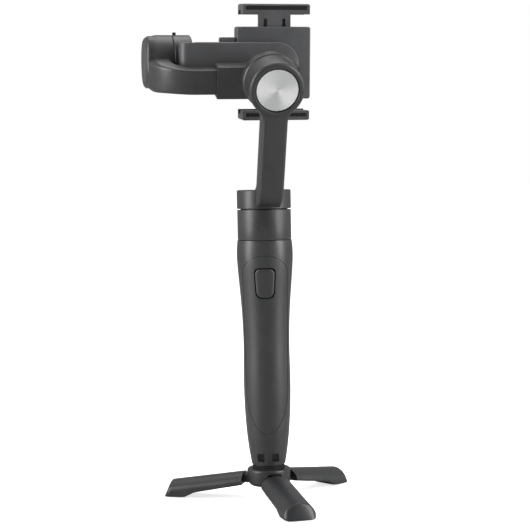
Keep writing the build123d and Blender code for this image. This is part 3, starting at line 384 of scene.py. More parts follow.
def turned(profile, place, around=96, ripple=None, centre=(0.0, 0.0)):
    """A profile of (radius, height) turned about local z: (r cos a, r sin a, h) for a round the circle.

    A ripple multiplies the radius by a function of the angle and the height.
    """
    profile = np.array(profile, float)
    a = np.linspace(0, 2 * np.pi, around, endpoint=False)[None, :]
    r, h = profile[:, :1], profile[:, 1:2] + 0 * a
    if ripple:
        r = r * ripple(a, h)
    local = np.stack([r * np.cos(a) + centre[0], r * np.sin(a) + centre[1], h], axis=-1)
    return shell(place[0] + local @ place[1], capped=False)


def arc(centre, radius, start, end, steps=6):
    """Points of a circular arc between two angles in degrees."""
    a = np.radians(np.linspace(start, end, steps + 1))
    return np.stack([centre[0] + radius * np.cos(a), centre[1] + radius * np.sin(a)], axis=-1)


def quarters(steps):
    """Angles that turn through four quarter circles, and which quarter each is in."""
    quarter = np.repeat(np.arange(4), steps + 1)
    return np.radians(90 * quarter) + np.tile(np.linspace(0, np.pi / 2, steps + 1), 4), quarter


def rounded_box(width, height, corner, middle=(0.0, 0.0), steps=8):
    """Outline of a rectangle whose corners are quarter circles, taken round the middle."""
    turn, quarter = quarters(steps)
    sx = np.where((quarter == 0) | (quarter == 3), 1, -1) * (width / 2 - corner)
    sy = np.where(quarter < 2, 1, -1) * (height / 2 - corner)
    x = middle[0] + sx + corner * np.cos(turn)
    return np.stack([x, middle[1] + sy + corner * np.sin(turn)], axis=-1)


def rounded_corners(corners, radii, steps=6):
    """Outline through corners, each turned by an arc of its own radius tangent to both sides."""
    corners = np.array(corners, float)
    pieces = []
    for n, radius in enumerate(radii):
        here = corners[n]
        before, after = corners[n - 1] - here, corners[(n + 1) % len(corners)] - here
        before, after = before / np.linalg.norm(before), after / np.linalg.norm(after)
        half = math.acos(np.clip(before @ after, -1, 1)) / 2
        middle = before + after
        centre = here + middle / np.linalg.norm(middle) * radius / math.sin(half)
        start = here + before * radius / math.tan(half) - centre
        end = here + after * radius / math.tan(half) - centre
        t = np.linspace(0, 1, steps + 1)[:, None]
        blend = start * (1 - t) + end * t
        reach = np.linalg.norm(blend, axis=1, keepdims=True)
        pieces.append(centre + blend / reach * radius)
    return np.vstack(pieces)


def outward(outline):
    """Unit normals of a closed outline, pointing out of it."""
    ahead = np.roll(outline, -1, axis=0) - outline
    behind = outline - np.roll(outline, 1, axis=0)
    ahead = ahead / np.maximum(np.linalg.norm(ahead, axis=1, keepdims=True), 1e-9)
    behind = behind / np.maximum(np.linalg.norm(behind, axis=1, keepdims=True), 1e-9)
    along = ahead + behind
    along /= np.maximum(np.linalg.norm(along, axis=1, keepdims=True), 1e-9)
    normal = np.stack([along[:, 1], -along[:, 0]], axis=-1)
    x, y = outline[:, 0], outline[:, 1]
    area = np.sum(x * np.roll(y, -1) - y * np.roll(x, -1))
    return normal * np.sign(area)


def soft_layers(low, high, round_low, round_high, steps=4):
    """Pairs of (inset, height) that carry an outline up a side with both rims rounded over."""
    a = np.linspace(0, np.pi / 2, steps + 1)
    below = np.stack([round_low * (1 - np.sin(a)), low + round_low * (1 - np.cos(a))], axis=-1)
    above = np.stack([round_high * (1 - np.cos(a)), high - round_high * (1 - np.sin(a))], axis=-1)
    return np.vstack([below, above])


def slab(outline, layers, place):
    """An outline carried along local z: at each (inset, height) it shrinks by the inset."""
    outline, layers = np.array(outline, float), np.array(layers, float)
    flat = outline[None] - layers[:, :1, None] * outward(outline)[None]
    height = np.broadcast_to(layers[:, 1:2], flat.shape[:2])
    return shell(place[0] + np.concatenate([flat, height[..., None]], axis=-1) @ place[1])


def ribs(spots, size, corner, layers, place):
    """Low ribs at several spots, each a rounded box of one size."""
    return [slab(rounded_box(*size, corner, spot), layers, place) for spot in spots]


def crowned(outline, layers, place, lift, rings=7):
    """A slab whose top closes in rings toward its middle, so that the lift can shape the face."""
    outline, layers = np.array(outline, float), np.array(layers, float)
    flat = outline[None] - layers[:, :1, None] * outward(outline)[None]
    t = np.linspace(0, 1, rings + 1)[1:, None, None]
    middle = flat[-1].mean(axis=0)
    inner = flat[-1][None] * (1 - t * 0.999) + middle * t * 0.999
    flat = np.concatenate([flat, inner])
    height = np.concatenate([layers[:, 1], np.full(rings, layers[-1, 1])])[:, None] + 0 * flat[..., 0]
    high = (height - layers[0, 1]) / (layers[-1, 1] - layers[0, 1])
    height = height + lift(flat[..., 0], flat[..., 1]) * high
    local = np.concatenate([flat, height[..., None]], axis=-1)
    return shell(place[0] + local @ place[1])


def ruled(front, back, half_width, corner, place, plane=(1, 2, 0), steps=5):
    """A rounded bar between two curves of one plane.

    Ring n is a rounded rectangle that reaches from the front curve to the back curve at their
    points n, and half_width[n] to each side.  The plane gives which local axes hold the curves'
    two coordinates and the width.
    """
    front, back = np.array(front, float), np.array(back, float)
    count = len(front)
    half_width = np.broadcast_to(np.array(half_width, float), count)
    across = front - back
    depth = np.linalg.norm(across, axis=1)
    across = across / depth[:, None]
    middle = (front + back) / 2
    corner = np.minimum(np.broadcast_to(corner, count), np.minimum(depth / 2, half_width) * 0.98)
    a, quarter = quarters(steps)
    sx = np.where((quarter == 0) | (quarter == 3), 1, -1)[None]
    sy = np.where(quarter < 2, 1, -1)[None]
    side = sx * (half_width - corner)[:, None] + corner[:, None] * np.cos(a)[None]
    deep = sy * (depth / 2 - corner)[:, None] + corner[:, None] * np.sin(a)[None]
    local = np.empty(side.shape + (3,))
    local[..., plane[0]] = middle[:, :1] + deep * across[:, :1]
    local[..., plane[1]] = middle[:, 1:] + deep * across[:, 1:]
    local[..., plane[2]] = side
    return shell(place[0] + local @ place[1])


shaped = set()  # the CAD nodes that have a visual piece


def finished(name, mesh, node_names, angle, edge):
    """An object of a mesh, smooth but for sharp edges, riding and named like its CAD nodes."""
    mesh.materials.clear()
    mesh.materials.append(finish_of(node_names[0]))
    made = bpy.data.objects.new(name, mesh)
    bpy.context.scene.collection.objects.link(made)
    mesh.shade_smooth()
    mesh.set_sharp_from_angle(angle=math.radians(angle))
    if edge:
        rounding = made.modifiers.new("Rounded edges", "BEVEL")
        rounding.width = edge * MM
        rounding.segments = 2
        rounding.limit_method = "ANGLE"
        rounding.angle_limit = math.radians(angle)
    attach(made, body_of[node_names[0]])
    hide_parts(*node_names)
    shaped.update(node_names)
    return made


def piece(name, node_names, skins, angle=40.0, edge=0.0):
    """One object of several closed skins, which stands for the CAD nodes."""
    points, faces, count = [], [], 0
    for skin_points, skin_faces in skins:
        points.append(skin_points)
        faces += [[i + count for i in face] for face in skin_faces]
        count += len(skin_points)
    mesh = bpy.data.meshes.new(name)
    mesh.from_pydata((np.vstack(points) * MM).tolist(), [], faces)
    work = bmesh.new()
    work.from_mesh(mesh)
    bmesh.ops.remove_doubles(work, verts=work.verts, dist=1e-7)
    bmesh.ops.recalc_face_normals(work, faces=work.faces)
    work.to_mesh(mesh)
    work.free()
    return finished(name, mesh, node_names, angle, edge)


def mount_point(name):
    """Where a mount of the record is, in millimetres."""
    return np.array(next(m["pos_m"] for m in frame["record"]["mounts"] if m["name"] == name)) / MM


jaws_apart = np.linalg.norm(mount_point("phone_top_grip") - mount_point("phone_rest"))


# ---- pan motor and leaning arm
def pan_housing():
    """Round motor housing: a turned wall with fine chamfers, and the spigot that enters the grip."""
    low, high = span("pan_motor_housing", PAN)
    wall, top = high[0], high[2]
    base = span("grip_shell", PAN)[1][2] + 0.3
    spigot, rim, well = 10.15, 0.4, 3.0
    profile = [(0, low[2]), (spigot, low[2]), (spigot, base), (wall - 0.5, base)]
    profile += [(wall - 0.12, base + 0.12), (wall, base + 0.5), (wall, top - 0.15)]
    profile += [(wall - 0.04, top - 0.04), (wall - 0.15, top), (wall - rim, top)]
    profile += [(wall - rim - 0.5, top - well), (0, top - well)]
    piece("pan_housing", ["pan_motor_housing"], [turned(profile, PAN, 128)])


# The strap's face behind the cup's rim, its depth, the round at its foot, its half width and the
# round of its flare.  Then the cup's wall and the plain cap's radius; the cup, the seat of its cap,
# and how deep the disc and the plain cap sit in it.
strap_front, strap_reach, strap_bend, strap_half, flare_round = 0.8, 14.0, 18.0, 8.6, 12.0
cup_wall, cap_radius = 1.7, 14.4
cup_radius, disc_seat, disc_sink, cap_sink = 18.77, 15.0, 2.6, 1.8


def strap_width(along):
    """Half width of the strap below the cup's centre: straight, then out along a hollow round."""
    flare_x = strap_half + flare_round
    flare_y = -math.sqrt((cup_radius + flare_round) ** 2 - flare_x**2)
    rise = np.clip(along - flare_y, 0, flare_round * 0.86)
    return flare_x - np.sqrt(flare_round**2 - rise**2)


def leaning_arm():
    """Foot ring, strap and cup of the arm that carries the roll motor."""
    low, high = span("pan_arm", PAN)
    foot, base, foot_round = high[0], low[2], 1.2
    top = base + 13.1
    rim = [(0, base), (foot - 0.4, base), (foot, base + 0.4), (foot, top - foot_round)]
    rim += arc((foot - foot_round, top - foot_round), foot_round, 0, 90).tolist()[1:] + [(0, top)]
    ring = turned(rim, PAN, 128)

    lean = math.atan2(roll_way[2], roll_way[1])
    face_y, face_z = ROLL[0][1], ROLL[0][2]

    def side(along, behind):
        """(Y, Z) of points up the leaning arm, at a depth behind the disc."""
        along, behind = np.asarray(along, float), np.asarray(behind, float)
        y = face_y + behind * math.cos(lean) - along * math.sin(lean)
        return np.stack([y, face_z + behind * math.sin(lean) + along * math.cos(lean)], axis=-1)

    # The strap starts under the cup, where its face is sunk to stay clear of the disc.  The front
    # curve comes straight down the arm, turns on the bend's arc and runs level to the pan axis; the
    # back curve comes straight down into the foot.
    strap_top, clear_of_disc, flare_end = -13.6, -15.4, -34.0
    fall = -(face_z - base + strap_front * math.sin(lean)) / math.cos(lean)
    turn = math.radians(90) + lean
    setback = strap_bend * math.tan((math.pi - turn) / 2)
    below_flare = np.linspace(flare_end, fall + setback, 8)[1:]
    straight = np.concatenate([np.linspace(strap_top, flare_end, 26), below_flare])
    sunk = np.where(straight > clear_of_disc, 4 * strap_front, strap_front)
    centre = side(fall + setback, strap_front + strap_bend)
    swing = np.radians(np.linspace(180 + math.degrees(lean), 270, 13))[1:]
    bend = centre + strap_bend * np.stack([np.cos(swing), np.sin(swing)], axis=-1)
    level = np.stack([np.linspace(bend[-1, 0], -8.0, 4)[1:], np.full(3, base + 0.05)], axis=-1)
    front = np.vstack([side(straight, sunk), bend, level])
    back_straight = side(straight, strap_front + strap_reach + 0 * straight)
    t = np.linspace(0, 1, len(bend) + len(level) + 1)[1:, None]
    sink = back_straight[-1] * (1 - t) + np.array([[-6.0, top - 1.4]]) * t
    back = np.vstack([back_straight, sink])
    width = np.concatenate([strap_width(straight), np.full(len(t), strap_half)])
    strap = ruled(front, back, width, 2.2, PAN)

    depth, edge, hollow = 20.0, 2.4, cup_radius - cup_wall
    bowl = [(0, -disc_sink), (disc_seat, -disc_sink), (disc_seat, -0.25), (disc_seat + 0.25, 0)]
    bowl += [(cup_radius - edge - 0.3, 0)] + arc((cup_radius - edge, -edge), edge, 84, 6, 8).tolist()
    bowl += [(cup_radius, -edge - 0.3), (cup_radius, -depth + 0.3), (cup_radius - 0.3, -depth)]
    bowl += [(hollow, -depth), (hollow, -4.3), (0, -4.3)]
    piece("leaning_arm", ["pan_arm"], [ring, strap, turned(bowl, ROLL, 160)])


def turned_uv(mesh, place, edge):
    """UV map "Turned" of a round face: the turn about local z, and the share of the edge's radius.

    A face's corners are numbered from its own middle, so that no face crosses the map's seam.
    """
    corners = np.empty(len(mesh.loops), int)
    mesh.loops.foreach_get("vertex_index", corners)
    points = np.empty(3 * len(mesh.vertices))
    mesh.vertices.foreach_get("co", points)
    local = ((points.reshape(-1, 3) / MM - place[0]) @ place[1].T)[corners]
    sizes = np.empty(len(mesh.polygons), int)
    mesh.polygons.foreach_get("loop_total", sizes)
    middle = np.repeat(np.add.reduceat(local, np.cumsum(sizes) - sizes) / sizes[:, None], sizes, axis=0)
    about = np.arctan2(middle[:, 1], middle[:, 0]) / (2 * np.pi)
    angle = np.arctan2(local[:, 1], local[:, 0]) / (2 * np.pi)
    angle = about + (angle - about + 0.5) % 1.0 - 0.5
    radius = np.hypot(local[:, 0], local[:, 1])
    uv = np.stack([np.where(radius < 1e-4, about, angle), radius / edge], axis=-1)
    mesh.uv_layers.new(name="Turned").data.foreach_set("uv", uv.ravel())


def spun_disc():
    """Bright disc turned on a lathe: its face is a fan of fine round grooves, sin(2 pi r / pitch)."""
    low, high = span("roll_disc", ROLL)
    edge, face = cap_radius, high[2]
    pitch, depth = 0.42, 0.0075
    r = np.arange(0.0, edge - 0.45, pitch / 6)
    face_line = np.stack([r, face - 0.03 + depth * np.sin(2 * np.pi * r / pitch)], axis=-1)
    rim = [(edge - 0.38, face - 0.02), (edge, face - 0.4), (edge, low[2]), (0, low[2])]
    made = piece("spun_disc", ["roll_disc"], [turned(np.vstack([face_line, rim]), ROLL, 180)], angle=30)
    turned_uv(made.data, ROLL, edge)


def channel_cover():
    """Cover of the wire channel behind the strap: a flush slab with two countersunk screws."""
    low, high, middle, size = extents("arm_cover", ROLL)
    body = rounded_box(size[0], size[1], 1.4, middle[:2])
    skins = [slab(body, soft_layers(low[2] - 0.12, high[2], 0.3, 0.05), ROLL)]
    for way in (-1, 1):
        spot = (0.0, middle[1] + way * (size[1] / 2 - 3.6))
        head = [(0, low[2] + 0.3), (0.55, low[2] + 0.3), (0.7, low[2] - 0.2), (1.4, low[2] - 0.25)]
        head += [(1.6, low[2] - 0.1), (1.6, low[2] + 0.6), (0, low[2] + 0.6)]
        skins.append(turned(head, ROLL, 36, centre=spot))
    piece("channel_cover", ["arm_cover"], skins)


# ---- tilt arm and motor
# How far the bar hangs below the roll axis; the half side, corners and rim of the housing's end.
bar_drop = 2.5
end_half, end_corner, end_round = 17.6, 12.5, 3.0


def square_housing(left, seam):
    """Left half of the tilt motor: rings that pass from a circle at the seam to a rounded square.

    Each ring is (inset, x, corner).  It goes in at the left end for the cap, and is hollow within.
    """
    wall, square = cup_radius, left + 8.5
    rings = [(0.3, seam, wall), (0.0, seam - 0.3, wall), (0.0, square, wall)]
    for t in np.linspace(0, 1, 7)[1:]:
        ease = t * t * (3 - 2 * t)
        rings.append(((wall - end_half) * ease, square - 4.5 * t, wall + (end_corner - wall) * ease))
    for a in np.linspace(0, np.pi / 2, 7):
        inset = wall - end_half + end_round * (1 - math.cos(a))
        rings.append((inset, left + end_round * (1 - math.sin(a)), end_corner))
    steps = 15
    around = 4 * (steps + 1)
    outlines = []
    for inset, x, corner in rings:
        half = wall - inset
        box = rounded_box(2 * half, 2 * half, min(corner, half - 0.01), steps=steps)
        outlines.append(np.column_stack([box, np.full(around, x)]))
    quarter = arc((0, 0), 1.0, 0, 90, steps)
    circle = np.vstack([quarter @ [[c, s], [-s, c]] for c, s in ((1, 0), (0, 1), (-1, 0), (0, -1))])

    def rounds(pairs):
        """Round rings, one for each (radius, x)."""
        return [np.column_stack([circle * radius, np.full(around, x)]) for radius, x in pairs]

    seat, sunk, hollow = disc_seat, left + cap_sink, wall - cup_wall
    mouth = rounds([(0.01, seam - 6), (hollow, seam - 6), (hollow, seam)])
    cap_seat = rounds([(seat + 0.1, left), (seat, left + 0.2), (seat, sunk), (0.01, sunk)])
    return shell(TILT[0] + np.array(mouth + outlines + cap_seat) @ TILT[1], capped=False)


def tilt_bar():
    """Sliding bar that sweeps round to the tilt motor, with its housing, square outside, round inside."""
    tail = span("tilt_arm", BAR)[1][0]
    left = span("tilt_arm", PAN)[0][0]
    seam = span("tilt_cap", PAN)[0][0] - 0.3
    # In the bar's plane: the outer line runs straight, then along a quarter ellipse; the inner one
    # runs straight, then along a quarter circle.  Both end inside the housing.
    start, outer_y, inner_y, inner_round = -50.0, 28.0, 38.0, 11.8
    reach = np.linalg.norm((joint_point("tilt") - joint_point("roll"))[1:]) - 11.0
    t = np.linspace(0, np.pi / 2, 25)
    run = np.linspace(tail, start, 12)[:-1]
    outer = np.stack([start - (start - left - 0.7) * np.sin(t), reach - (reach - outer_y) * np.cos(t)], -1)
    inner = np.stack([start - inner_round * np.sin(t), inner_y + inner_round * (1 - np.cos(t))], -1)
    outer_end = [(outer[-1, 0], reach + 1.0), (outer[-1, 0] + 3.0, reach + 7.0)]
    inner_end = [(inner[-1, 0], reach + 1.0), (inner[-1, 0], reach + 7.0)]
    front = np.vstack([np.stack([run, 0 * run + outer_y], -1), outer, outer_end])
    back = np.vstack([np.stack([run, 0 * run + inner_y], -1), inner, inner_end])
    swell = np.concatenate([0 * run, np.sin(t) ** 2 * (1 - np.cos(t)) ** 0.5, [1.0, 0.0]])
    points, faces = ruled(front, back, 8.5 + 3.4 * swell, 1.2 + 4.8 * swell, BAR, (0, 1, 2))
    ring_lift = np.repeat(-2.1 * swell - bar_drop, len(points) // len(swell))
    bar = (points + ring_lift[:, None] * BAR[1][2], faces)
    piece("tilt_bar", ["tilt_arm"], [bar, square_housing(left, seam)])


def tilt_housings():
    """Right half of the tilt motor, and the plain cap in the left half's end: both turned."""
    low, high = span("tilt_cap", TILT)
    wall = cup_radius
    edge = 1.4
    profile = [(0, low[2]), (wall - 0.35, low[2]), (wall, low[2] + 0.35), (wall, high[2] - edge)]
    profile += arc((wall - edge, high[2] - edge), edge, 0, 90).tolist()[1:]
    profile += [(8.2, high[2]), (8.0, high[2] - 0.3), (7.8, high[2]), (0, high[2])]
    piece("tilt_right_half", ["tilt_cap"], [turned(profile, TILT, 128)])
    low, high = span("tilt_end_cap", TILT)
    cap = [(0, high[2]), (cap_radius, high[2]), (cap_radius, low[2] + 0.4), (cap_radius - 0.4, low[2])]
    cap += [(12.6, low[2]), (12.45, low[2] + 0.15), (12.3, low[2]), (0, low[2])]
    piece("tilt_left_cap", ["tilt_end_cap"], [turned(cap, TILT, 128)])


def lock_wheel():
    """Knurled thumb wheel: a turned profile whose radius ripples round its rim."""
    place = standing(joint_point("lock_turn"), RIGHT, joint("lock_turn")["axis"])
    low, high = span("balance_lock", place)
    radius, neck = 4.55, 1.95
    seat = low[2] + 5.0

    def knurl(a, h):
        """Round flutes, deepest in the middle of the wheel's height."""
        inside = np.clip((h - low[2]) * (seat - h) / 3.0, 0, 1)
        return 1 - 0.055 * inside * (1 + np.cos(16 * a)) / 2

    profile = [(0, low[2] + 0.5), (2.6, low[2] + 0.5), (2.8, low[2]), (radius - 0.7, low[2])]
    profile += arc((radius - 0.6, low[2] + 0.6), 0.6, -90, 0, 4).tolist()[1:]
    profile += [(radius, h) for h in np.linspace(low[2] + 0.8, seat - 0.7, 6)]
    profile += arc((radius - 0.5, seat - 0.5), 0.5, 0, 90, 4).tolist()
    profile += [(neck, seat), (neck, high[2]), (0, high[2])]
    piece("lock_wheel", ["balance_lock"], [turned(profile, place, 128, knurl)])


# ---- phone arm and clamp
def phone_beam():
    """Flat beam from the tilt motor to the clamp's pivot, hooked round the motor at its left end."""
    low, high = span("phone_arm", CLAMP)
    depth, bend, half, pivot_round = 9.0, 6.0, 14.0, 14.3
    front_y, back_y = low[1], low[1] + depth
    left, hub = low[0], low[0] + 11.0
    swing = np.linspace(0, np.pi / 2, 9)
    corner = np.stack([left + bend - bend * np.cos(swing), front_y + bend - bend * np.sin(swing)], -1)
    past_pivot = pivot_round * np.sin(np.linspace(0, np.pi / 2, 16)[1:])
    x = np.concatenate([np.linspace(hub + 0.5, 0, 14), past_pivot])
    front = np.vstack([[(left, high[1])], corner, np.stack([x, front_y + 0 * x], -1)])
    hooked = [(hub, high[1])] + len(corner) * [(hub, back_y)]
    back = np.vstack([hooked, np.stack([x, back_y + 0 * x], -1)])
    rounded = np.sqrt(np.maximum(pivot_round**2 - np.maximum(x, 0) ** 2, 0.2))
    tall = np.concatenate([np.full(len(hooked), half), rounded])
    piece("phone_beam", ["phone_arm"], [ruled(front, back, tall, 1.0, CLAMP, (0, 1, 2))], angle=35)


def back_plate():
    """Plate that closes the clamp behind, and the rubber pad on it with nine level ribs."""
    low, high, middle, size = extents("clamp_back_plate", CLAMP)
    plate = rounded_box(size[0], size[2], 1.0, middle[::2])
    skins = [slab(plate, soft_layers(-high[1], -low[1], 0.25, 0.2), CLAMP_FACE)]
    piece("back_plate", ["clamp_back_plate"], skins)
    low, high, middle, size = extents("back_pad", CLAMP)
    pad = rounded_box(size[0], size[2], 3.0, middle[::2])
    skins = [slab(pad, soft_layers(-high[1] + 0.25, -low[1], 0.3, 0.1), CLAMP_FACE)]
    spots = [(middle[0], z) for z in np.linspace(low[2] + 4, high[2] - 4, 9)]
    layers = soft_layers(-high[1], -high[1] + 0.5, 0.25, 0.05)
    skins += ribs(spots, (size[0] - 6, 1.8), 0.85, layers, CLAMP_FACE)
    piece("ribbed_back_pad", ["back_pad"], skins)


def clamp_tray():
    """Clamp's body: a tray whose outline runs up the outside, over the rim and down the inside."""
    low, high, middle, size = extents("clamp_body", CLAMP)
    outline = rounded_box(size[0], size[2], 1.6, middle[::2])
    wall, back, front = 2.4, -high[1], -low[1]
    inside = [(wall, front - wall), (wall, back + 0.15), (wall - 0.15, back), (0.3, back), (0.0, back + 0.3)]
    over = soft_layers(back + 1.0, front, 0.0, 0.9, 5)[6:]
    piece("clamp_tray", ["clamp_body"], [slab(outline, np.vstack([inside, over]), CLAMP_FACE)])


def latch():
    """Release tab at the clamp's left: a rounded bar with three finger ridges."""
    low, high, middle, size = extents("clamp_latch", CLAMP)
    bar = rounded_box(size[0], size[2], 1.3, middle[::2])
    skins = [slab(bar, soft_layers(-high[1], -low[1] - 0.15, 0.5, 0.5), CLAMP_FACE)]
    spots = [(low[0] + x, middle[2]) for x in (1.8, 3.2, 4.6)]
    layers = soft_layers(-low[1] - 1.0, -low[1], 0.1, 0.2)
    skins += ribs(spots, (0.6, size[2] - 1.2), 0.29, layers, CLAMP_FACE)
    piece("release_tab", ["clamp_latch"], skins)


def closing_springs():
    """Two coil springs: a round wire carried along a helix, (R cos a, R sin a, h a / 2 pi)."""
    low, high, middle, size = extents("clamp_springs", CLAMP)
    coil, wire, coils, around = 1.45, 0.35, 9, 24
    a = np.linspace(0, 2 * np.pi * coils, coils * around + 1)[:, None]
    b = np.linspace(0, 2 * np.pi, 8, endpoint=False)[None, :]
    reach = coil + wire * np.cos(b)
    climb = low[2] + wire + (size[2] - 2 * wire) * a / a[-1] + wire * np.sin(b)
    skins = []
    for x in (low[0] + coil + wire, high[0] - coil - wire):
        local = np.stack([x + reach * np.cos(a), middle[1] + reach * np.sin(a), climb], axis=-1)
        skins.append(shell(CLAMP[0] + local @ CLAMP[1]))
    made = piece("closing_springs", ["clamp_springs"], skins)
    made.parent = None
    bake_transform(made)


def jaw_linings():
    """Rubber of both jaws: the ribbed strip under the phone's edge and the long insert in front."""
    for name, way, lower in (("upper_jaw_pad", 1, 2.1), ("lower_jaw_pad", -1, 1.17)):
        low, high, middle, size = extents(name, CLAMP)
        face = jaws_apart / 2 * way
        strip = rounded_box(size[0], 9.0, 0.6, (middle[0], high[1] - 4.5))
        skins = [slab(strip, soft_layers(*sorted((face, face + way * 1.0)), 0.2, 0.2), CLAMP)]
        spots = [(x, high[1] - 4.5) for x in np.linspace(low[0] + 2.5, high[0] - 2.5, 22)]
        layers = soft_layers(*sorted((face - way * 0.22, face + way * 0.4)), 0.15, 0.15)
        skins += ribs(spots, (0.9, 8.0), 0.4, layers, CLAMP)
        insert = rounded_box(size[0] - 3.0, 2.6, 0.8, (middle[0], face + way * lower))
        jaw_front = -span(name.replace("_pad", ""), CLAMP)[0][1]
        skins.append(slab(insert, soft_layers(jaw_front - 1.35, jaw_front - 0.15, 0.1, 0.2), CLAMP_FACE))
        piece(name.replace("_", "-"), [name], skins)


# ---- tripod
leg_root = 17.6  # where a leg's body begins, out from the tripod's middle


def leg_rings(low, high):
    """Rings along a leg, each over its back from side to side, then back along its under side.

    The back's height is the lesser of two slopes, out to the shoulder and down the nose, blended
    where they meet.  Across, it falls as a circle does, r - sqrt(r^2 - y^2).
    """
    tip, bottom, half, crown_round = high[0], low[2], 11.1, 13.0
    top_root, under_root, foot_at = high[2] - 1.1, 10.6, 60.0
    shoulder, shoulder_z, blend = tip - 3.6, 11.5, 2.6
    s = np.concatenate([np.linspace(leg_root, tip - 9, 16), tip - 8.4 * np.linspace(1, 0, 25) ** 1.6])
    narrow = np.clip((s - tip + 5.0) / 5.0, 0, 1)
    wide = (half - 3.6 * (1 - np.sqrt(1 - narrow**2)))[:, None]
    line = top_root + (shoulder_z - top_root) / (shoulder - leg_root) * (s - leg_root)
    nose = shoulder_z + (bottom + 1.2 - shoulder_z) / (tip - shoulder) * (s - shoulder)
    top = np.minimum(line, nose) - 0.25 * np.maximum(blend - np.abs(line - nose), 0) ** 2 / blend
    top = top[:, None]
    under = np.interp(s, [leg_root, foot_at - 7.5, foot_at, tip], [under_root, 4.2, bottom, bottom])[:, None]
    across, under_across = np.linspace(-1, 1, 21), np.linspace(1, -1, 11)
    crown = crown_round - np.sqrt(crown_round**2 - (across * half) ** 2)
    back_z = top - crown * np.clip((top - under) / 9.5, 0, 1) - np.abs(across) ** 14
    under_y = (wide - 0.3 * np.abs(under_across) ** 6) * under_across
    y = np.hstack([wide * across, under_y])
    z = np.hstack([np.maximum(back_z, under + 0.15), under + 0.3 * np.abs(under_across) ** 8])
    return np.stack([np.broadcast_to(s[:, None], y.shape), y, z], -1)


def tripod_legs():
    """Crowned legs with their hinge eyes, and the ribbed rubber under their feet."""
    for n in (1, 2, 3):
        out = np.cross(joint(f"leg_{n}_fold")["axis"], UP)
        place = standing((0, 0, 0), out, UP)
        side = standing((0, 0, 0), out, np.cross(out, UP))
        hinge_z = joint_point(f"leg_{n}_fold")[2]
        eye = arc((11.5, hinge_z), 3.6, 90, 270, 14).tolist()
        eye += [(leg_root + 1.5, hinge_z - 3.0), (leg_root + 1.5, hinge_z + 1.8)]
        rings = leg_rings(*span(f"tripod_leg_{n}", place))
        skins = [shell(place[0] + rings @ place[1]), slab(eye, soft_layers(-4.5, 4.5, 0.3, 0.3), side)]
        piece(f"leg_{n}", [f"tripod_leg_{n}"], skins, angle=38, edge=0.25)

        low, high, middle, size = extents(f"foot_pad_{n}", place)
        pad = rounded_box(size[0], size[1], 0.8, middle[:2])
        skins = [slab(pad, soft_layers(low[2] + 0.3, high[2], 0.2, 0.05), place)]
        spots = [(x, middle[1]) for x in np.linspace(low[0] + 1.3, high[0] - 1.3, 6)]
        skins += ribs(spots, (1.0, size[1] - 1.4), 0.4, soft_layers(low[2], low[2] + 0.6, 0.15, 0.05), place)
        piece(f"ribbed_foot_{n}", [f"foot_pad_{n}"], skins)


def seat():
    """Rubber ring under the grip, turned, with shallow grooves round it, 1.5 mm apart."""
    low, high = span("seat_ring", PAN)
    radius, hole = high[0], 3.6
    z = np.linspace(low[2] + 0.2, high[2] - 0.2, 25)
    wave = radius - 0.28 * np.clip(np.cos((z - low[2]) * 2 * np.pi / 1.5), 0, 1) ** 2
    profile = [(hole, low[2]), (radius - 0.4, low[2])] + np.stack([wave, z], -1).tolist()
    profile += [(radius - 0.4, high[2]), (hole, high[2]), (hole, low[2])]
    piece("seat", ["seat_ring"], [turned(profile, PAN, 96)])


# ---- controls
def trigger_key():
    """Trigger: an outline wider at the top, crowned like the grip across and dished along its height."""
    low, high = span("trigger", FRONT)
    middle, face, grip_round = (low[1] + high[1]) / 2, high[2], 18.0
    top, bottom, half = 7.05, 5.85, (high[1] - low[1]) / 2 - 0.02
    foot, head = middle - half, middle + half
    corners = [(-bottom, foot), (bottom, foot), (top, head), (-top, head)]
    outline = rounded_corners(corners, [4.6, 4.6, 3.4, 3.4], 8)
    layers = soft_layers(low[2] + 0.3, face - 0.1, 0.2, 0.9)

    def shape(x, y):
        """Falls off to the sides as the grip does, and is 0.25 mm hollow halfway up."""
        side = -(x**2) / (2 * grip_round)
        return side - 0.25 * np.clip(1 - ((y - middle) / half) ** 2, 0, 1)

    piece("trigger_key", ["trigger"], [crowned(outline, layers, FRONT, shape)])


def thumb_stick():
    """Joystick: a turned cap with a dished top, a rim of small flutes and the stem beneath."""
    place = standing(REAR[0] + (0, 0, joint_point("joystick_up_down")[2]), REAR[1][0], REAR[1][2])
    low, high = span("joystick", place)
    top, rim, stem, hollow = high[2], 6.15, 1.7, 3.9
    base = top - 2.4
    r = np.linspace(0, hollow, 8)[:-1]
    dish = np.stack([r, top - 0.75 + 0.7 * (r / hollow) ** 2], -1).tolist()
    profile = dish + arc((4.1, top - 0.2), 0.2, 120, 60, 3).tolist()
    profile += [(5.0, top - 0.35)] + arc((rim - 0.9, top - 1.2), 0.9, 60, 0, 5).tolist()
    profile += [(rim, top - 1.5), (rim - 0.2, base + 0.1), (rim - 0.5, base), (stem, base)]
    profile += [(stem, low[2] + 0.9), (0, low[2] + 0.9)]

    def flutes(a, h):
        """Twenty-four small flutes round the rim only."""
        near_rim = np.clip((top - 0.4 - h) / 0.4, 0, 1) * np.clip((h - base) / 0.3, 0, 1)
        return 1 - 0.02 * near_rim * (1 + np.cos(24 * a)) / 2

    piece("thumb_stick", ["joystick"], [turned(profile, place, 144, flutes)])


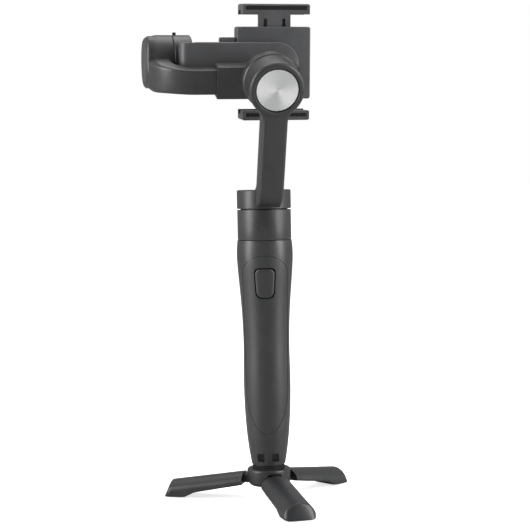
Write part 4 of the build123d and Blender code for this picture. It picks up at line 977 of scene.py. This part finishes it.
def push_buttons():
    """Round keys: turned, with a soft rim and a slightly hollow face."""
    for name in ("shutter_button", "mode_button"):
        low, high = span(name, REAR)
        middle = (low[1] + high[1]) / 2
        place = (REAR[0] + (0, 0, middle), REAR[1])
        top, rim, hollow, edge = high[2], 3.8, 2.7, 0.55
        r = np.linspace(0, hollow, 7)
        dish = np.stack([r, top - 0.28 + 0.25 * (r / hollow) ** 2], -1).tolist()
        profile = dish + arc((rim - edge, top - edge), edge, 84, 0, 6).tolist()
        profile += [(rim, low[2]), (0, low[2])]
        piece("key_" + name, [name], [turned(profile, place, 72)])


def zoom_key():
    """Slide key: a rounded slab with five raised finger ridges."""
    way = slider_way()
    place = standing((0, 0, 0), np.cross(UP, way), way)
    low, high, middle, size = extents("zoom_slider", place)
    face = high[2]
    cap = rounded_box(size[0], size[1], 1.4, middle[:2])
    stem = rounded_box(2.8, 5.0, 0.3, middle[:2])
    skins = [slab(cap, soft_layers(face - 1.4, face - 0.3, 0.2, 0.4), place)]
    skins.append(slab(stem, soft_layers(low[2], face - 1.2, 0.1, 0.1), place))
    spots = [(middle[0], y) for y in np.linspace(middle[1] - 2.4, middle[1] + 2.4, 5)]
    skins += ribs(spots, (size[0] - 1.4, 0.55), 0.26, soft_layers(face - 0.8, face, 0.05, 0.2), place)
    piece("zoom_key", ["zoom_slider"], skins)


def slider_way():
    """Outward direction of the slide key: from the pan axis to the middle of its box, level."""
    low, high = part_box("zoom_slider")
    middle = np.array([(low[0] + high[0]) / 2, (low[1] + high[1]) / 2, 0.0])
    return middle / np.linalg.norm(middle)


for build in (
    pan_housing, leaning_arm, spun_disc, channel_cover, tilt_bar, tilt_housings, lock_wheel, phone_beam,
    clamp_tray, back_plate, latch, closing_springs, jaw_linings, tripod_legs, seat, trigger_key,
    thumb_stick, push_buttons, zoom_key,
):
    build()


# ---- the other pieces
def softened(name, node_name):
    """A copy of a CAD node, merged, with flats dissolved and its sharp edges rounded over."""
    mesh = frame["nodes"][node_name].data.copy()
    mesh.name = name
    work = bmesh.new()
    work.from_mesh(mesh)
    bmesh.ops.remove_doubles(work, verts=work.verts, dist=1e-6)
    bmesh.ops.dissolve_limit(
        work, angle_limit=math.radians(0.1), verts=work.verts, edges=work.edges, delimit={"NORMAL"}
    )
    work.to_mesh(mesh)
    work.free()
    return finished(name, mesh, [node_name], angle=32.0, edge=0.25)


MOULDED_NAMES = {"grip_shell": "grip_body", "front_cover": "grip_cover"}
INSIDE = [
    "thread_insert", "battery_cell", "pole_guide", "circuit_board", "trigger_switch", "pan_stator",
    "roll_stator", "tilt_stator", "pan_rotor", "roll_rotor", "tilt_rotor", "pan_bearing",
    "roll_bearing", "tilt_bearing", "leg_pins", "tripod_stud", "joystick_yoke", "clamp_pivot",
    "pole_tube_1", "pole_tube_2", "pole_tube_3",
]
for cad_name, cad_object in frame["nodes"].items():
    cad_object.data.materials.clear()
    cad_object.data.materials.append(finish_of(cad_name))
    if cad_name not in INSIDE and cad_name not in shaped:
        softened(MOULDED_NAMES.get(cad_name, "moulded_" + cad_name), cad_name)


# ---- stage
def stage_floor():
    """A wide pale floor, bright to the camera and darker in what it throws back on the object."""
    side = 30.0
    mesh = bpy.data.meshes.new("Floor")
    corners = [(-side, -side, 0), (side, -side, 0), (side, side, 0), (-side, side, 0)]
    mesh.from_pydata(corners, [], [(0, 1, 2, 3)])
    floor = bpy.data.objects.new("Floor", mesh)
    bpy.context.scene.collection.objects.link(floor)
    made, tree, shader = new_material("Pale floor")
    place = node(tree, "TexCoord").outputs["Object"]
    tone = mix_colour(tree, noise(tree, place, 3.0, 2.0), (0.9, 0.9, 0.9, 1), (0.93, 0.93, 0.93, 1))
    seen = node(tree, "LightPath").outputs["Is Camera Ray"]
    lit = mix_colour(tree, seen, (0.43, 0.43, 0.43, 1), tone)
    glow = mix_colour(tree, seen, (0, 0, 0, 1), tone)
    feed_inputs(tree, shader, Base_Color=lit, Emission_Color=glow, Emission_Strength=0.8, Roughness=0.9)
    mesh.materials.append(made)


def studio_light():
    """Pale surround, dark behind the camera and bright at both sides."""
    world = bpy.data.worlds.new("Studio")
    bpy.context.scene.world = world
    world.use_nodes = True
    tree = world.node_tree
    tree.nodes.clear()
    way = node(tree, "TexCoord").outputs["Generated"]
    turn = math.radians(CAMERA_AZIMUTH)
    camera_way = (math.sin(turn), -math.cos(turn), 0.0)
    facing = node(tree, "VectorMath", operation="DOT_PRODUCT", in_0=way, in_1=camera_way).outputs["Value"]
    front = ramp(tree, facing, 0.35, 0.93, 1.0, 0.05)
    behind = ramp(tree, facing, -0.9, -0.1, 0.5, 1.0)
    level = maths(tree, "MULTIPLY", front, behind)
    shade = node(tree, "CombineColor")
    for channel in range(3):
        tree.links.new(level, shade.inputs[channel])
    surround = node(tree, "Background", in_Color=shade.outputs[0], in_Strength=0.75)
    seen = node(tree, "Background", in_Color=(1, 1, 1, 1), in_Strength=1.0)
    path = node(tree, "LightPath").outputs["Is Camera Ray"]
    both = node(tree, "MixShader", in_0=path, in_1=surround.outputs[0], in_2=seen.outputs[0])
    node(tree, "OutputWorld", in_0=both.outputs[0])


def soft_lamp(name, azimuth, height, distance, size, power, aim=0.2):
    """A square soft lamp on a stand, aimed at the object."""
    lamp = bpy.data.lights.new(name, "AREA")
    lamp.shape = "RECTANGLE"
    lamp.size, lamp.size_y = size
    lamp.energy = power
    stand = bpy.data.objects.new(name, lamp)
    a = math.radians(azimuth)
    spot = np.array([math.sin(a) * distance, -math.cos(a) * distance, height])
    stand.matrix_world = looking(spot, spot - (0, 0, aim))
    bpy.context.scene.collection.objects.link(stand)


def looking(spot, back):
    """Matrix of a lamp or camera at a spot whose local z is the direction back."""
    z = np.array(back, float) / np.linalg.norm(back)
    x = np.cross((0, 0, 1.0), z)
    x /= np.linalg.norm(x)
    y = np.cross(z, x)
    made = np.eye(4)
    made[:3, 0], made[:3, 1], made[:3, 2], made[:3, 3] = x, y, z, spot
    return Matrix(made.tolist())


CAMERA_AZIMUTH = -11.3
CAMERA_DISTANCE = 1.0
CAMERA_HEIGHT = 0.224
CAMERA_PITCH = 3.367
CAMERA_ROLL = -1.06
CAMERA_LENS = 97.13


def camera():
    """Camera a little above the grip's middle, turned to the left of the operator's axis."""
    data = bpy.data.cameras.new("Camera")
    data.lens = CAMERA_LENS
    data.sensor_width = 36.0
    made = bpy.data.objects.new("Camera", data)
    a = math.radians(CAMERA_AZIMUTH)
    spot = (math.sin(a) * CAMERA_DISTANCE, -math.cos(a) * CAMERA_DISTANCE, CAMERA_HEIGHT)
    turn = Matrix.Rotation(a, 4, "Z") @ Matrix.Rotation(math.radians(90 - CAMERA_PITCH), 4, "X")
    made.matrix_world = Matrix.Translation(spot) @ turn @ Matrix.Rotation(math.radians(CAMERA_ROLL), 4, "Z")
    bpy.context.scene.collection.objects.link(made)
    bpy.context.scene.camera = made


stage_floor()
studio_light()
soft_lamp("Left softbox", -80.0, 0.5, 1.3, (0.6, 1.3), 21.0)
soft_lamp("Right softbox", 57.0, 0.5, 1.3, (0.6, 1.3), 20.0)
soft_lamp("Top softbox", 170.0, 1.6, 0.5, (1.0, 1.0), 9.0)
camera()
bpy.context.scene.view_settings.view_transform = "Standard"
